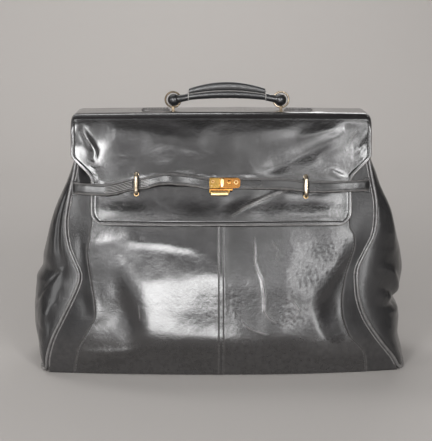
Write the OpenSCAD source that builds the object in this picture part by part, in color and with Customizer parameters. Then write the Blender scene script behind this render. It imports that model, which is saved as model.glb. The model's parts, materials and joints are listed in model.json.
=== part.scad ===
// Soft leather travel bag with a flap, a rolled handle, two belt straps and a turning clasp.
// Millimetres, +Z up, front towards -Y, origin on the floor at the middle of the base.

/* [Body] */
// Width of the front panel at the floor, piping to piping
base_w = 498; // [440:1:560]
// Height of the body without its flap
body_h = 352; // [300:1:400]
// Depth of the body at the floor, at its middle
floor_d = 200; // [150:1:220]
// Depth of the body at the floor, at its corners
corner_d = 172; // [140:1:200]
// Largest depth of the body, where its belly is
belly_d = 224; // [190:1:250]
// Height of the belly above the floor
belly_z = 55; // [40:1:80]
// Depth of the mouth
mouth_d = 72; // [60:1:90]
// Width of the mouth
mouth_w = 396; // [360:1:404]
// Width between the pipings where the body is drawn in
waist_w = 386; // [350:1:420]
// Height of the drawn-in waist
waist_z = 137; // [110:1:160]
// Width between the pipings below the flap
upper_w = 431; // [410:1:450]
// Height of that upper width
upper_z = 215; // [190:1:240]
// How far the gussets swell past the pipings at the waist
gusset_swell = 68; // [30:1:80]
// How far the gussets swell past the pipings at the floor
foot_swell = 13; // [8:1:30]
// How much fuller the left gusset hangs below the waist
left_sag = 8; // [0:1:10]
// How much the right gusset is drawn in below the waist
right_tuck = 6.5; // [0:0.5:10]
// Depth of the soft fold in the upper middle of each gusset
fold_d = 8; // [0:0.5:12]

/* [Leather] */
// Thickness of the outer leather
leather_t = 2.4; // [1.8:0.1:3]
// Thickness of the suede lining
lining_t = 0.8; // [0.5:0.1:1.2]
// Gap between two layers that lie on each other
layer_gap = 0.3; // [0.2:0.05:0.5]
// Gap between the body's leather and its lining
lining_gap = 0.6; // [0.5:0.05:1]
// Radius of the piping
piping_r = 2.3; // [1.8:0.1:3]
// Width of the lapped seam down the middle of the front
seam_w = 6; // [4:0.5:10]
// Width of the front side strips at the floor
strip_w = 43; // [30:1:60]
// Width of the front side strips at the waist
waist_strip_w = 20; // [14:1:40]
// Thickness of the stiffening boards
board_t = 2.5; // [1.5:0.1:4]
// Height of the leather facing inside the mouth
facing_h = 26; // [15:1:40]

/* [Flap] */
// Width of the flap at its shoulders
flap_w = 418; // [410:1:440]
// Width of the lower part of the flap
flap_low_w = 361; // [320:1:380]
// Height of the flap's lower edge above the floor
flap_low_z = 210; // [190:1:235]
// Height at which the shoulders start to narrow
shoulder_z = 305; // [290:1:315]
// Height at which the narrowing ends
neck_z = 270; // [255:1:280]
// Radius of the flap's lower corners
flap_corner_r = 17; // [8:1:25]
// Radius of the rolled edges along the top
roll_r = 7.5; // [6:0.1:10]

/* [Straps] */
// Width of the straps
strap_w = 15.5; // [12:0.5:20]
// Thickness of the straps
strap_t = 3.2; // [2:0.1:4]
// Height of the straps' middle at the clasp
strap_z = 265; // [255:1:280]
// Distance of the staples from the middle
staple_x = 117; // [100:1:130]
// Distance of the strap slots from the middle
slot_x = 203; // [200:1:206]
// Distance of the left strap's bow from the middle
bow_x = 75; // [65:1:85]
// Height of that bow above the straps' middle
bow_h = 6; // [0:0.5:8]
// Inner height of a staple loop
staple_h = 24; // [20:0.5:32]
// Radius of the staple wire
staple_r = 1.5; // [1:0.1:2]

/* [Clasp] */
// Width of the clasp plates together
clasp_w = 42.5; // [38:0.5:56]
// Height of the clasp plates
clasp_h = 14.5; // [12:0.5:18]
// Thickness of each clasp plate
plate_t = 1.6; // [1.2:0.1:2.4]
// Sideways place of the clasp's middle
clasp_x = 5; // [-10:0.5:10]
// Distance of the turning post from the plates' left end
post_in = 17.5; // [15:0.5:20]
// Radius of the turning post
post_r = 1.9; // [1.5:0.1:2.2]
// Width of the turning bar
bar_w = 4.6; // [4:0.1:6]
// Length of the turning bar
bar_l = 13; // [10:0.5:16]
// Thickness of the turning bar
bar_t = 2.6; // [2:0.1:4]
// Width of the tab below the clasp
tab_plate_w = 24; // [18:0.5:28]
// Height of that tab
tab_plate_h = 5; // [4:0.1:8]
// Reach of the ledge to the right of the clasp's middle
ledge_reach = 11; // [8:0.5:16]

/* [Handle] */
// Distance between the ring centres
ring_span = 153; // [130:1:170]
// Sideways place of the handle's middle
handle_x = 8.5; // [-10:0.5:12]
// Mean radius of a ring
ring_r = 10.8; // [9.5:0.1:13]
// Radius of the ring wire
wire_r = 1.3; // [1:0.05:1.5]
// Radius of the roll at its middle
grip_r = 6; // [5:0.1:7]
// Radius of the roll at its ends
neck_r = 4.6; // [4.2:0.1:5]
// Radius of the rounded handle ends
bulb_r = 7.2; // [6.5:0.1:7.5]
// Rise of the roll between its ends and its middle
arch_h = 8; // [4:0.5:14]
// Length of the stitched crest on the roll
crest_l = 108; // [80:1:112]
// Height of the crest above the roll at its middle
crest_h = 10.5; // [7:0.5:14]
// Thickness of the crest
crest_t = 7; // [4:0.5:9]
// Length of the leather tabs that hold the rings
tab_l = 45; // [30:1:55]
// Width of those tabs
tab_w = 17; // [12:1:24]

/* [Hidden] */

leather_c = "#3e3d3f";
edge_c = "#8f8a86";
lining_c = "#8a7560";
board_c = "#5c5046";
brass_c = "#b9925a";
copper_c = "#a8703c";

base_x = base_w / 2;
waist_x = waist_w / 2;
upper_x = upper_w / 2;
mouth_x = mouth_w / 2;
mouth_y = mouth_d / 2;
// How far the corners bulge at the belly, and how far the gussets swell or tuck in at the top
corner_bulge = 7;
top_swell = 3;
mouth_tuck = 10;
// The widths and depths of the body at a few heights, from the floor up
EDGE_X = [[0, base_x], [waist_z * 0.46, base_x * 0.48 + waist_x * 0.52], [waist_z, waist_x],
    [upper_z, upper_x], [body_h, mouth_x]];
MID_Y = [[0, floor_d / 2], [belly_z, belly_d / 2],
    [belly_z + (body_h - belly_z) / 3, belly_d / 2 * 0.8 + mouth_y * 0.2], [body_h, mouth_y]];
EDGE_Y = [[0, corner_d / 2], [belly_z, corner_d / 2 + corner_bulge],
    [belly_z + (body_h - belly_z) / 2, corner_d * 0.26 + mouth_y * 0.74], [body_h, mouth_y]];
// How far a gusset swells past its piping at a few heights, with an extra below the waist
function swell_points(extra) = [[0, foot_swell], [belly_z, gusset_swell * 0.62 + extra * 0.6],
    [(belly_z + waist_z) / 2, gusset_swell * 0.86 + extra], [waist_z, gusset_swell],
    [upper_z, gusset_swell * 0.4], [shoulder_z, top_swell], [body_h, -mouth_tuck]];
SWELL_LEFT = swell_points(left_sag);
SWELL_RIGHT = swell_points(-right_tuck);
fold_turn = 8;
fold_spread = 28;
fold_fade = 50;
STRIP = [[0, strip_w], [belly_z, strip_w * 0.9], [waist_z, waist_strip_w],
    [upper_z, strip_w * 0.7], [body_h, strip_w * 0.6]];
ROWS = [0, 0.05, 0.11, 0.17, 0.25, 0.32, 0.39, 0.46, 0.53, 0.62, 0.72, 0.82, 0.92, 1];
panel_cols = 6;
edge_gap = piping_r + layer_gap;
corner_fill = 2;
piping_lift = 0.4;
FOOT_TURNS = [-80:16:80];

// Value at z of a smooth curve through the points [z, value] of p
function curve(p, z) =
    let(n = len(p),
        i = max([for (k = [0:n - 2]) z >= p[k][0] ? k : 0]),
        h = p[i + 1][0] - p[i][0],
        t = min(1, max(0, (z - p[i][0]) / h)),
        d = (p[i + 1][1] - p[i][1]) / h,
        m0 = i > 0 ? (p[i + 1][1] - p[i - 1][1]) / (p[i + 1][0] - p[i - 1][0]) : d,
        m1 = i < n - 2 ? (p[i + 2][1] - p[i][1]) / (p[i + 2][0] - p[i][0]) : d,
        t2 = t * t,
        t3 = t2 * t)
    (2 * t3 - 3 * t2 + 1) * p[i][1] + (t3 - 2 * t2 + t) * h * m0
        + (3 * t2 - 2 * t3) * p[i + 1][1] + (t3 - t2) * h * m1;
function mix(a, b, t) = a + (b - a) * t;
function ease(t) = let(c = min(1, max(0, t))) c * c * (3 - 2 * c);

function edge_x(z) = curve(EDGE_X, z);
function mid_y(z) = curve(MID_Y, z);
function edge_y(z) = curve(EDGE_Y, z);
// Half depth of the body at x and height z
function depth(x, z) =
    let(u = min(1, abs(x) / edge_x(z)))
    mix(mid_y(z), edge_y(z), pow(u, 2.2));
function seam_x(z) = edge_x(z) - curve(STRIP, z);
// Point of a gusset at height z and turn a, -90 at the front and 90 at the back, towards +X.
// The left gusset, s = -1, is given as its mirror image
function gusset_point(s, a, z, inset) =
    let(c = pow(max(0, cos(a)), 0.8),
        half = edge_y(z) - piping_r * 2 - corner_fill - layer_gap,
        fold = fold_d * exp(-pow((a - fold_turn) / fold_spread, 2))
            * ease((z - waist_z) / (upper_z - waist_z)) * ease((body_h - z) / fold_fade),
        out = curve(s < 0 ? SWELL_LEFT : SWELL_RIGHT, z) * c - fold)
    [edge_x(z) + out - inset * cos(a * 0.75), half * sin(a) - inset * sin(a * 0.75), z];

// Closed wall between two grids of points of the same size
module wall(a, b) {
    nr = len(a);
    nc = len(a[0]);
    n = nr * nc;
    points = concat([for (r = a) each r], [for (r = b) each r]);
    function at(i, j) = i * nc + j;
    skin = [for (i = [0:nr - 2], j = [0:nc - 2]) each [
        [at(i, j), at(i + 1, j), at(i + 1, j + 1)], [at(i, j), at(i + 1, j + 1), at(i, j + 1)]]];
    back = [for (f = skin) [f[2] + n, f[1] + n, f[0] + n]];
    rim = concat([for (j = [0:nc - 2]) [at(0, j), at(0, j + 1)]],
        [for (i = [0:nr - 2]) [at(i, nc - 1), at(i + 1, nc - 1)]],
        [for (j = [nc - 1:-1:1]) [at(nr - 1, j), at(nr - 1, j - 1)]],
        [for (i = [nr - 1:-1:1]) [at(i, 0), at(i - 1, 0)]]);
    sides = [for (e = rim) each [[e[0], e[1], e[1] + n], [e[0], e[1] + n, e[0] + n]]];
    polyhedron(points, concat(sides, skin, back), convexity = 6);
}
// Piece of the front between two functions of height, t thick, lying d inside the outer face
module front_sheet(left, right, rows, cols, d, t) {
    function grid(off) = [for (z = rows) [for (k = [0:cols])
        let(x = mix(left(z), right(z), k / cols)) [x, off - depth(x, z), z]]];
    wall(grid(d), grid(d + t));
}
// Gusset sheet of side s, t thick, lying d inside the outer face
module gusset_sheet(s, rows, cols, d, t) {
    function grid(off) = [for (z = rows) [for (k = [0:cols])
        gusset_point(s, mix(-90, 90, k / cols), z, off)]];
    wall(grid(d), grid(d + t));
}
// Tube with flat ends round the points of path, n sides, radius from the list radii
module tube(path, radii, n) {
    m = len(path);
    function unit(v) = v / norm(v);
    function along(i) = unit(path[min(m - 1, i + 1)] - path[max(0, i - 1)]);
    function side(i) = let(t = along(i), s = cross(t, abs(t[1]) < 0.9 ? [0, 1, 0] : [1, 0, 0])) unit(s);
    function ring(i) = let(s = side(i), u = cross(along(i), s))
        [for (k = [0:n - 1]) path[i] + radii[i] * (s * cos(360 * k / n) + u * sin(360 * k / n))];
    points = [for (i = [0:m - 1]) each ring(i)];
    body = [for (i = [0:m - 2], k = [0:n - 1])
        let(a = i * n + k, b = i * n + (k + 1) % n) each [[a, a + n, b + n], [a, b + n, b]]];
    polyhedron(points, concat(body, [[for (k = [0:n - 1]) k]],
        [[for (k = [n - 1:-1:0]) (m - 1) * n + k]]), convexity = 6);
}

body_rows = [for (k = ROWS) k * body_h];
lining_low = leather_t + board_t + 3 * layer_gap + lining_t;
// The linings turn where the leather in front of them turns
lining_rows = concat([lining_low],
    [for (z = body_rows) if (z > 1.5 * lining_low && z < body_h) z], [body_h - 1]);
gusset_lining_rows = [for (k = ROWS) mix(lining_low, body_h - 1, k)];
facing_rows = [for (k = [0:3]) body_h - facing_h + k * facing_h / 3];

// Outer shell of the body
module front_panel_right() {
    color(leather_c)
    front_sheet(function(z) seam_w / 2, function(z) seam_x(z), body_rows, panel_cols, 0, leather_t);
}
module front_panel_left() { mirror([1, 0, 0]) front_panel_right(); }
module centre_seam_strip() {
    color(edge_c)
    front_sheet(function(z) -seam_w / 2, function(z) seam_w / 2, body_rows, 2, 0, leather_t);
}
module front_side_strip_right() {
    color(leather_c)
    front_sheet(function(z) seam_x(z), function(z) edge_x(z) - edge_gap, body_rows, 2, 0, leather_t);
}
module front_side_strip_left() { mirror([1, 0, 0]) front_side_strip_right(); }
module back_panel() {
    color(leather_c)
    rotate([0, 0, 180])
    front_sheet(function(z) edge_gap - edge_x(z), function(z) edge_x(z) - edge_gap,
        body_rows, panel_cols * 2, 0, leather_t);
}
gusset_rows = [for (k = ROWS) mix(piping_r * 2 + layer_gap, body_h, k)];
gusset_cols = 12;
module gusset_right() { color(leather_c) gusset_sheet(1, gusset_rows, gusset_cols, 0, leather_t); }
module gusset_left() {
    color(leather_c) mirror([1, 0, 0]) gusset_sheet(-1, gusset_rows, gusset_cols, 0, leather_t);
}

// The piping runs down the front edge, round the foot of the gusset and up the back edge
module piping(s) {
    function seam(z, v) = [edge_x(z), v * (edge_y(z) - piping_r - corner_fill + piping_lift), z];
    turn_z = piping_r * 3;
    rise = [for (k = ROWS) mix(turn_z, body_h, k)];
    foot = [for (a = FOOT_TURNS) gusset_point(s, a, piping_r * 2, 0)];
    path = concat([for (k = [len(rise) - 1:-1:0]) seam(rise[k], -1)],
        [for (p = foot) [p[0], p[1], piping_r]],
        [for (z = rise) seam(z, 1)]);
    color(leather_c) tube(path, [for (p = path) piping_r], 8);
}
module piping_right() { piping(1); }
module piping_left() { mirror([1, 0, 0]) piping(-1); }

// Outline of the base at a distance d inside the walls
function base_outline(d) =
    let(half = base_x - d,
        front = [for (k = [-5:5]) let(x = half * k / 6) [x, d - depth(x, 0)]],
        side = function(s) [for (a = FOOT_TURNS) let(p = gusset_point(s, a, piping_r * 2, d)) [s * p[0], p[1]]],
        left = side(-1))
    concat(front, side(1), [for (k = [len(front) - 1:-1:0]) [front[k][0], -front[k][1]]],
        [for (k = [len(left) - 1:-1:0]) left[k]]);
module base_sheet(z, t, d) { translate([0, 0, z]) linear_extrude(t) polygon(base_outline(d)); }
base_inset = max(piping_r, leather_t) + 3 * layer_gap;
module bottom_panel() { color(leather_c) base_sheet(0, leather_t, base_inset); }
module bottom_board() { color(board_c) base_sheet(leather_t + layer_gap, board_t, base_inset + 2); }
module bottom_lining() {
    color(lining_c) base_sheet(leather_t + board_t + 2 * layer_gap, lining_t, base_inset + 4);
}

// Lining of the body, and the leather facings at its mouth
lining_d = leather_t + lining_gap;
lining_margin = piping_r * 2 + 6;
module front_lining() {
    color(lining_c)
    front_sheet(function(z) lining_margin - edge_x(z), function(z) edge_x(z) - lining_margin,
        lining_rows, panel_cols * 2, lining_d, lining_t);
}
module back_lining() { rotate([0, 0, 180]) front_lining(); }
module gusset_lining_right() {
    color(lining_c) gusset_sheet(1, gusset_lining_rows, gusset_cols, lining_d, lining_t);
}
module gusset_lining_left() {
    color(lining_c) mirror([1, 0, 0]) gusset_sheet(-1, gusset_lining_rows, gusset_cols, lining_d, lining_t);
}
facing_margin = lining_margin + 8;
module front_facing() {
    color(leather_c)
    front_sheet(function(z) facing_margin - edge_x(z), function(z) edge_x(z) - facing_margin,
        facing_rows, panel_cols, lining_d + lining_t + layer_gap, leather_t / 2);
}
module back_facing() { rotate([0, 0, 180]) front_facing(); }

// Leather patches round the slots that the straps leave the body through
patch_t = 1.2;
patch_margin = 5;
module strap_slot_right() {
    rows = [for (k = [-1:1]) strap_mid(slot_x) + k * (strap_w / 2 + patch_margin / 2)];
    color(leather_c)
    front_sheet(function(z) slot_x - patch_margin, function(z) slot_x + patch_margin * 0.7, rows, 2,
        -patch_t - layer_gap, patch_t);
}
module strap_slot_left() { mirror([1, 0, 0]) strap_slot_right(); }

// Flap: a stiff top section and a hanging front section that meet at the front bend
flap_in = 2 * layer_gap;
flap_d = flap_in + lining_t + layer_gap + leather_t;
bend_z = body_h + 0.4;
top_z = bend_z + roll_r;
front_y = mouth_y + flap_d;
rear_y = mouth_y + 1;
shoulder_r = 10;
flap_x = flap_w / 2;
low_x = flap_low_w / 2;
// Half width of the flap at height z
function flap_half(z) =
    let(r = flap_corner_r, low = flap_low_z + r, high = top_z - shoulder_r)
    z < low ? low_x - r + sqrt(r * r - pow(low - z, 2))
    : z > high ? flap_x - shoulder_r + sqrt(pow(shoulder_r, 2) - pow(z - high, 2))
    : mix(low_x, flap_x, ease((z - neck_z) / (shoulder_z - neck_z)));
function flap_rows(d) = concat(
    [for (a = [0:22.5:90]) flap_low_z + flap_corner_r * (1 - cos(a)) + d],
    [mix(flap_low_z + flap_corner_r, neck_z, 0.5)],
    [for (k = [0:4]) mix(neck_z, shoulder_z, k / 4)],
    [for (k = [1:2]) mix(shoulder_z, bend_z, k / 3)], [bend_z - 0.2 - d]);
module rolled_top(inset) {
    r = roll_r - inset;
    intersection() {
        union() {
            translate([roll_r - front_y, bend_z]) circle(r, $fn = 48);
            translate([rear_y - roll_r, bend_z]) circle(r, $fn = 48);
            translate([roll_r - front_y, bend_z]) square([front_y + rear_y - 2 * roll_r, r]);
        }
        translate([-front_y, bend_z]) square([front_y + rear_y, roll_r]);
    }
}
module flap_top_panel() {
    color(leather_c)
    intersection() {
        translate([-flap_x, 0, 0]) rotate([90, 0, 90]) linear_extrude(flap_w)
            difference() {
                rolled_top(0);
                rolled_top(leather_t);
            }
        translate([0, front_y + 1, 0]) rotate([90, 0, 0]) linear_extrude(front_y + rear_y + 2)
            union() {
                translate([shoulder_r - flap_x, bend_z - 5]) square([flap_w - 2 * shoulder_r, roll_r + 5]);
                translate([-flap_x, bend_z - 5]) square([flap_w, roll_r + 5 - shoulder_r]);
                for (s = [-1, 1]) translate([s * (flap_x - shoulder_r), top_z - shoulder_r])
                    circle(shoulder_r, $fn = 64);
            }
    }
}
board_margin = 14;
module top_layer(z, t) {
    translate([board_margin - flap_x, roll_r - front_y, z])
        cube([flap_w - 2 * board_margin, front_y + rear_y - 2 * roll_r, t]);
}
board_z = top_z - leather_t - layer_gap - board_t;
module flap_top_board() { color(board_c) top_layer(board_z, board_t); }
module flap_top_lining() { color(lining_c) top_layer(board_z - layer_gap - lining_t, lining_t); }
module flap_front_panel() {
    color(leather_c)
    front_sheet(function(z) -flap_half(z), function(z) flap_half(z), flap_rows(0), 12, -flap_d, leather_t);
}
lining_edge = 5;
module flap_front_lining() {
    color(lining_c)
    front_sheet(function(z) lining_edge - flap_half(z), function(z) flap_half(z) - lining_edge,
        flap_rows(lining_edge * 0.4), 12, -flap_in - lining_t, lining_t);
}

// Rings, their eyes and the leather tabs that hold them on the flap
pivot_z = top_z + 4.3;
ring_z = pivot_z + ring_r;
eye_w = 4;
eye_gap = 0.6;
eye_wall = 1.6;
eye_r = wire_r + eye_gap + eye_wall;
tab_t = 2.2;
function ring_x(s) = handle_x + s * ring_span / 2;
module ring_tab(s) {
    color(leather_c)
    translate([ring_x(s), 0, top_z])
    linear_extrude(tab_t)
    scale([s, 1])
    union() {
        translate([eye_w / 2 + layer_gap, -tab_w / 2]) square([tab_l - tab_w / 2, tab_w]);
        translate([tab_l - tab_w / 2 + eye_w / 2, 0]) circle(tab_w / 2, $fn = 48);
    }
}
module ring_tab_left() { ring_tab(-1); }
module ring_tab_right() { ring_tab(1); }
module ring_eye(s) {
    color(brass_c)
    translate([ring_x(s) - eye_w / 2, 0, 0])
    difference() {
        union() {
            translate([0, 0, pivot_z]) rotate([0, 90, 0]) cylinder(h = eye_w, r = eye_r, $fn = 48);
            translate([0, -eye_r, top_z]) cube([eye_w, 2 * eye_r, pivot_z - top_z]);
        }
        translate([-1, 0, pivot_z]) rotate([0, 90, 0])
            cylinder(h = eye_w + 2, r = wire_r + eye_gap, $fn = 32);
    }
}
module ring_eye_left() { ring_eye(-1); }
module ring_eye_right() { ring_eye(1); }
module ring_wire(s, r) {
    translate([ring_x(s), 0, ring_z]) rotate([90, 0, 0]) rotate_extrude($fn = 64)
        translate([ring_r, 0]) circle(r, $fn = 24);
}
module handle_ring_left() { color(brass_c) ring_wire(-1, wire_r); }
module handle_ring_right() { color(brass_c) ring_wire(1, wire_r); }

// Handle: an arched roll between two rounded ends, with a stitched crest along its top
half_span = ring_span / 2;
roll_half = half_span - ring_r - 6.5;
bulb_in = 1.5;
function arch(x) = ring_z + arch_h * (1 - pow(x / half_span, 2));
function roll_radius(x) = mix(grip_r, neck_r, pow(x / roll_half, 2));
module handle_roll() {
    path = [for (k = [-12:12]) let(x = k / 12 * roll_half) [handle_x + x, 0, arch(x)]];
    color(leather_c) tube(path, [for (p = path) roll_radius(p[0] - handle_x)], 16);
}
module handle_crest() {
    half = crest_l / 2;
    xs = [for (k = [-9:9]) k / 9 * half];
    under = [for (x = xs) [x, arch(x) + roll_radius(x) + layer_gap]];
    over = [for (k = [18:-1:0]) let(x = xs[k])
        [x, arch(x) + roll_radius(x) + mix(crest_h, crest_h * 0.62, pow(x / half, 2))]];
    color(leather_c)
    translate([handle_x, crest_t / 2, 0]) rotate([90, 0, 0]) linear_extrude(crest_t)
        polygon(concat(under, over));
}
module handle_binding(s) {
    x = s * (crest_l / 2 + layer_gap + 1);
    r = roll_radius(x);
    color(edge_c)
    translate([handle_x + x - 1, 0, arch(x)])
    rotate([90, 0, 90]) linear_extrude(2)
    difference() {
        union() {
            circle(r + 1.5, $fn = 48);
            translate([-crest_t / 2, 0]) square([crest_t, r + crest_h * 0.62]);
        }
        circle(r + 0.5, $fn = 48);
    }
}
module handle_binding_left() { handle_binding(-1); }
module handle_binding_right() { handle_binding(1); }
module handle_end(s) {
    bulb_x = half_span - bulb_in;
    join_x = roll_half + layer_gap;
    run = [bulb_x - join_x, arch(join_x) - arch(bulb_x)];
    color(leather_c)
    difference() {
        union() {
            translate([handle_x + s * bulb_x, 0, arch(bulb_x)]) sphere(bulb_r, $fn = 64);
            translate([handle_x + s * bulb_x, 0, arch(bulb_x)])
                rotate([0, -s * atan2(run[0], run[1]), 0])
                cylinder(h = norm(run), r = neck_r, $fn = 48);
        }
        ring_wire(s, wire_r + 0.25);
        translate([ring_x(s) - bulb_r, 0, pivot_z]) rotate([0, 90, 0])
            cylinder(h = 2 * bulb_r, r = eye_r + layer_gap, $fn = 48);
    }
}
module handle_end_left() { handle_end(-1); }
module handle_end_right() { handle_end(1); }

// Straps: a part on the flap from staple to clasp, and a tail from staple to slot
left_slot_dip = 7;
left_staple_dip = 2;
right_dip = 3;
function strap_mid(x) = x < 0
    ? curve([[-slot_x, strap_z - left_slot_dip], [-staple_x, strap_z - left_staple_dip],
        [-bow_x, strap_z + bow_h], [-bow_x * 0.6, strap_z + bow_h * 5 / 6], [clasp_x, strap_z]], x)
    : curve([[clasp_x, strap_z], [staple_x * 0.83, strap_z - right_dip / 3],
        [staple_x, strap_z - right_dip], [slot_x, strap_z - right_dip]], x);
// Distance of the strap's inner face from the body's outer face
function strap_off(x) = mix(flap_d + layer_gap, patch_t + 2 * layer_gap,
    ease((abs(x) - low_x - 2) / (slot_x - low_x - 2)));
module strap_sheet(x0, x1, cols) {
    function grid(extra) = [for (v = [-1, 1]) [for (k = [0:cols])
        let(x = mix(x0, x1, k / cols), z = strap_mid(x) + v * strap_w / 2)
        [x, -depth(x, z) - strap_off(x) - extra, z]]];
    color(leather_c) wall(grid(strap_t), grid(0));
}
post_x = clasp_x - clasp_w / 2 + post_in;
post_room = post_r + 1;
joint_x = staple_x + staple_r + 3;
tail_gap = 0.3;
module strap_left() { strap_sheet(tail_gap / 2 - joint_x, post_x - post_room, 12); }
module strap_right() { strap_sheet(post_x + post_room, joint_x - tail_gap / 2, 12); }
module strap_tail_left() { strap_sheet(-slot_x - 2, -joint_x - tail_gap / 2, 8); }
module strap_tail_right() { strap_sheet(joint_x + tail_gap / 2, slot_x + 2, 8); }

// Carries children to the flap's outer face at x and height z, -Y outwards
module on_flap(x, z) {
    step = strap_w * 0.65;
    lean = atan((depth(x, z - step) - depth(x, z + step)) / (2 * step));
    translate([x, -depth(x, z) - flap_d, z]) rotate([-lean, 0, 0]) children();
}
module rod_y(x, z, y0, y1, r) {
    translate([x, y0, z]) rotate([-90, 0, 0]) cylinder(h = y1 - y0, r = r, $fn = 32);
}
staple_out = strap_t + 2.4;
module staple(s) {
    reach = staple_h / 2 + staple_r;
    color(brass_c)
    on_flap(s * staple_x, strap_mid(s * staple_x)) {
        translate([0, -staple_out, -reach]) cylinder(h = 2 * reach, r = staple_r, $fn = 32);
        for (v = [-1, 1]) {
            translate([0, -staple_out, v * reach]) sphere(staple_r, $fn = 32);
            rod_y(0, v * reach, -staple_out, -layer_gap, staple_r);
        }
    }
}
module staple_left() { staple(-1); }
module staple_right() { staple(1); }
module staple_eyelets(s) {
    reach = staple_h / 2 + staple_r;
    color(brass_c)
    on_flap(s * staple_x, strap_mid(s * staple_x))
    for (v = [-1, 1]) difference() {
        rod_y(0, v * reach, -layer_gap - 0.9, -layer_gap, staple_r + 2.2);
        rod_y(0, v * reach, -layer_gap - 2, 0, staple_r + 0.3);
    }
}
module staple_eyelets_left() { staple_eyelets(-1); }
module staple_eyelets_right() { staple_eyelets(1); }

// Clasp: two strap plates held by a turning bar on a post, with a ledge and a tab below
plate_y = strap_t + 2 * layer_gap;
plate_left = -clasp_w / 2;
post_rel = post_x - clasp_x;
split_x = post_rel - post_r - 1;
end_r = 5;
module clasp_frame() { on_flap(clasp_x, strap_z + 1) children(); }
module plate(x0, x1, z0, z1, y, t) { translate([x0, -y - t, z0]) cube([x1 - x0, t, z1 - z0]); }
module clasp_plate_left() {
    color(brass_c) clasp_frame()
    plate(plate_left, split_x - layer_gap, -clasp_h / 2, clasp_h / 2, plate_y, plate_t);
}
module clasp_plate_right() {
    right = clasp_w / 2;
    color(copper_c) clasp_frame()
    difference() {
        union() {
            plate(split_x, right - end_r, -clasp_h / 2, clasp_h / 2, plate_y, plate_t);
            plate(split_x, right, end_r - clasp_h / 2, clasp_h / 2 - end_r, plate_y, plate_t);
            for (v = [-1, 1])
                rod_y(right - end_r, v * (clasp_h / 2 - end_r), -plate_y - plate_t, -plate_y, end_r);
        }
        rod_y(post_rel, 0, -plate_y - plate_t - 1, 1 - plate_y, post_r + layer_gap);
    }
}
rivet_r = 1.9;
rivet_t = 0.9;
module clasp_rivets() {
    color(brass_c) clasp_frame()
    for (p = [[plate_left + 5, 1.5], [plate_left + 3, -4.4], [clasp_w / 2 - 5.5, 1]])
        rod_y(p[0], p[1], -plate_y - plate_t - rivet_t, -plate_y - plate_t, rivet_r);
}
post_top = plate_y + plate_t + 0.4;
module clasp_post() { color(brass_c) clasp_frame() rod_y(post_rel, 0, -post_top, -layer_gap, post_r); }
module clasp_turn_bar() {
    straight = bar_l / 2 - bar_w / 2;
    color(brass_c) clasp_frame() translate([post_rel, 0, 0]) {
        plate(-bar_w / 2, bar_w / 2, -straight, straight, post_top + layer_gap, bar_t);
        for (v = [-1, 1])
            rod_y(0, v * straight, -post_top - layer_gap - bar_t, -post_top - layer_gap, bar_w / 2);
    }
}
ledge_top = -clasp_h / 2 - layer_gap;
ledge_h = 3.6;
ledge_t = 2.2;
hinge_r = 1.3;
hinge_z = ledge_top - ledge_h - hinge_r - 0.5;
hinge_y = plate_y + hinge_r;
pin_r = 0.6;
ear_w = 1.6;
tab_left = plate_left + ear_w + layer_gap;
tab_right = tab_left + tab_plate_w;
module rod_x(x0, x1, r) {
    translate([x0, -hinge_y, hinge_z]) rotate([0, 90, 0]) cylinder(h = x1 - x0, r = r, $fn = 32);
}
module clasp_ledge() {
    color(copper_c) clasp_frame()
    difference() {
        union() {
            plate(plate_left, ledge_reach, ledge_top - ledge_h, ledge_top, plate_y, ledge_t);
            for (x = [plate_left, tab_right + layer_gap]) {
                rod_x(x, x + ear_w, hinge_r);
                plate(x, x + ear_w, hinge_z, ledge_top - 1, plate_y, hinge_r);
            }
        }
        rod_x(plate_left - 1, tab_right + ear_w + 2, pin_r + 0.1);
    }
}
module clasp_tab() {
    color(brass_c) clasp_frame()
    difference() {
        union() {
            rod_x(tab_left, tab_right, hinge_r);
            plate(tab_left, tab_right, hinge_z - tab_plate_h + hinge_r, hinge_z, plate_y, hinge_r);
        }
        rod_x(tab_left - 1, tab_right + 1, pin_r + 0.2);
    }
}
module clasp_tab_pin() {
    color(brass_c) clasp_frame() rod_x(plate_left, tab_right + layer_gap + ear_w, pin_r);
}

front_panel_left();
front_panel_right();
centre_seam_strip();
front_side_strip_left();
front_side_strip_right();
back_panel();
gusset_left();
gusset_right();
piping_left();
piping_right();
bottom_panel();
bottom_board();
bottom_lining();
front_lining();
back_lining();
gusset_lining_left();
gusset_lining_right();
front_facing();
back_facing();
strap_slot_left();
strap_slot_right();
flap_top_panel();
flap_top_board();
flap_top_lining();
ring_tab_left();
ring_tab_right();
ring_eye_left();
ring_eye_right();
handle_roll();
handle_crest();
handle_binding_left();
handle_binding_right();
handle_end_left();
handle_end_right();
handle_ring_left();
handle_ring_right();
flap_front_panel();
flap_front_lining();
staple_left();
staple_right();
staple_eyelets_left();
staple_eyelets_right();
strap_left();
strap_right();
strap_tail_left();
strap_tail_right();
clasp_plate_left();
clasp_plate_right();
clasp_rivets();
clasp_post();
clasp_turn_bar();
clasp_ledge();
clasp_tab();
clasp_tab_pin();
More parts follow.
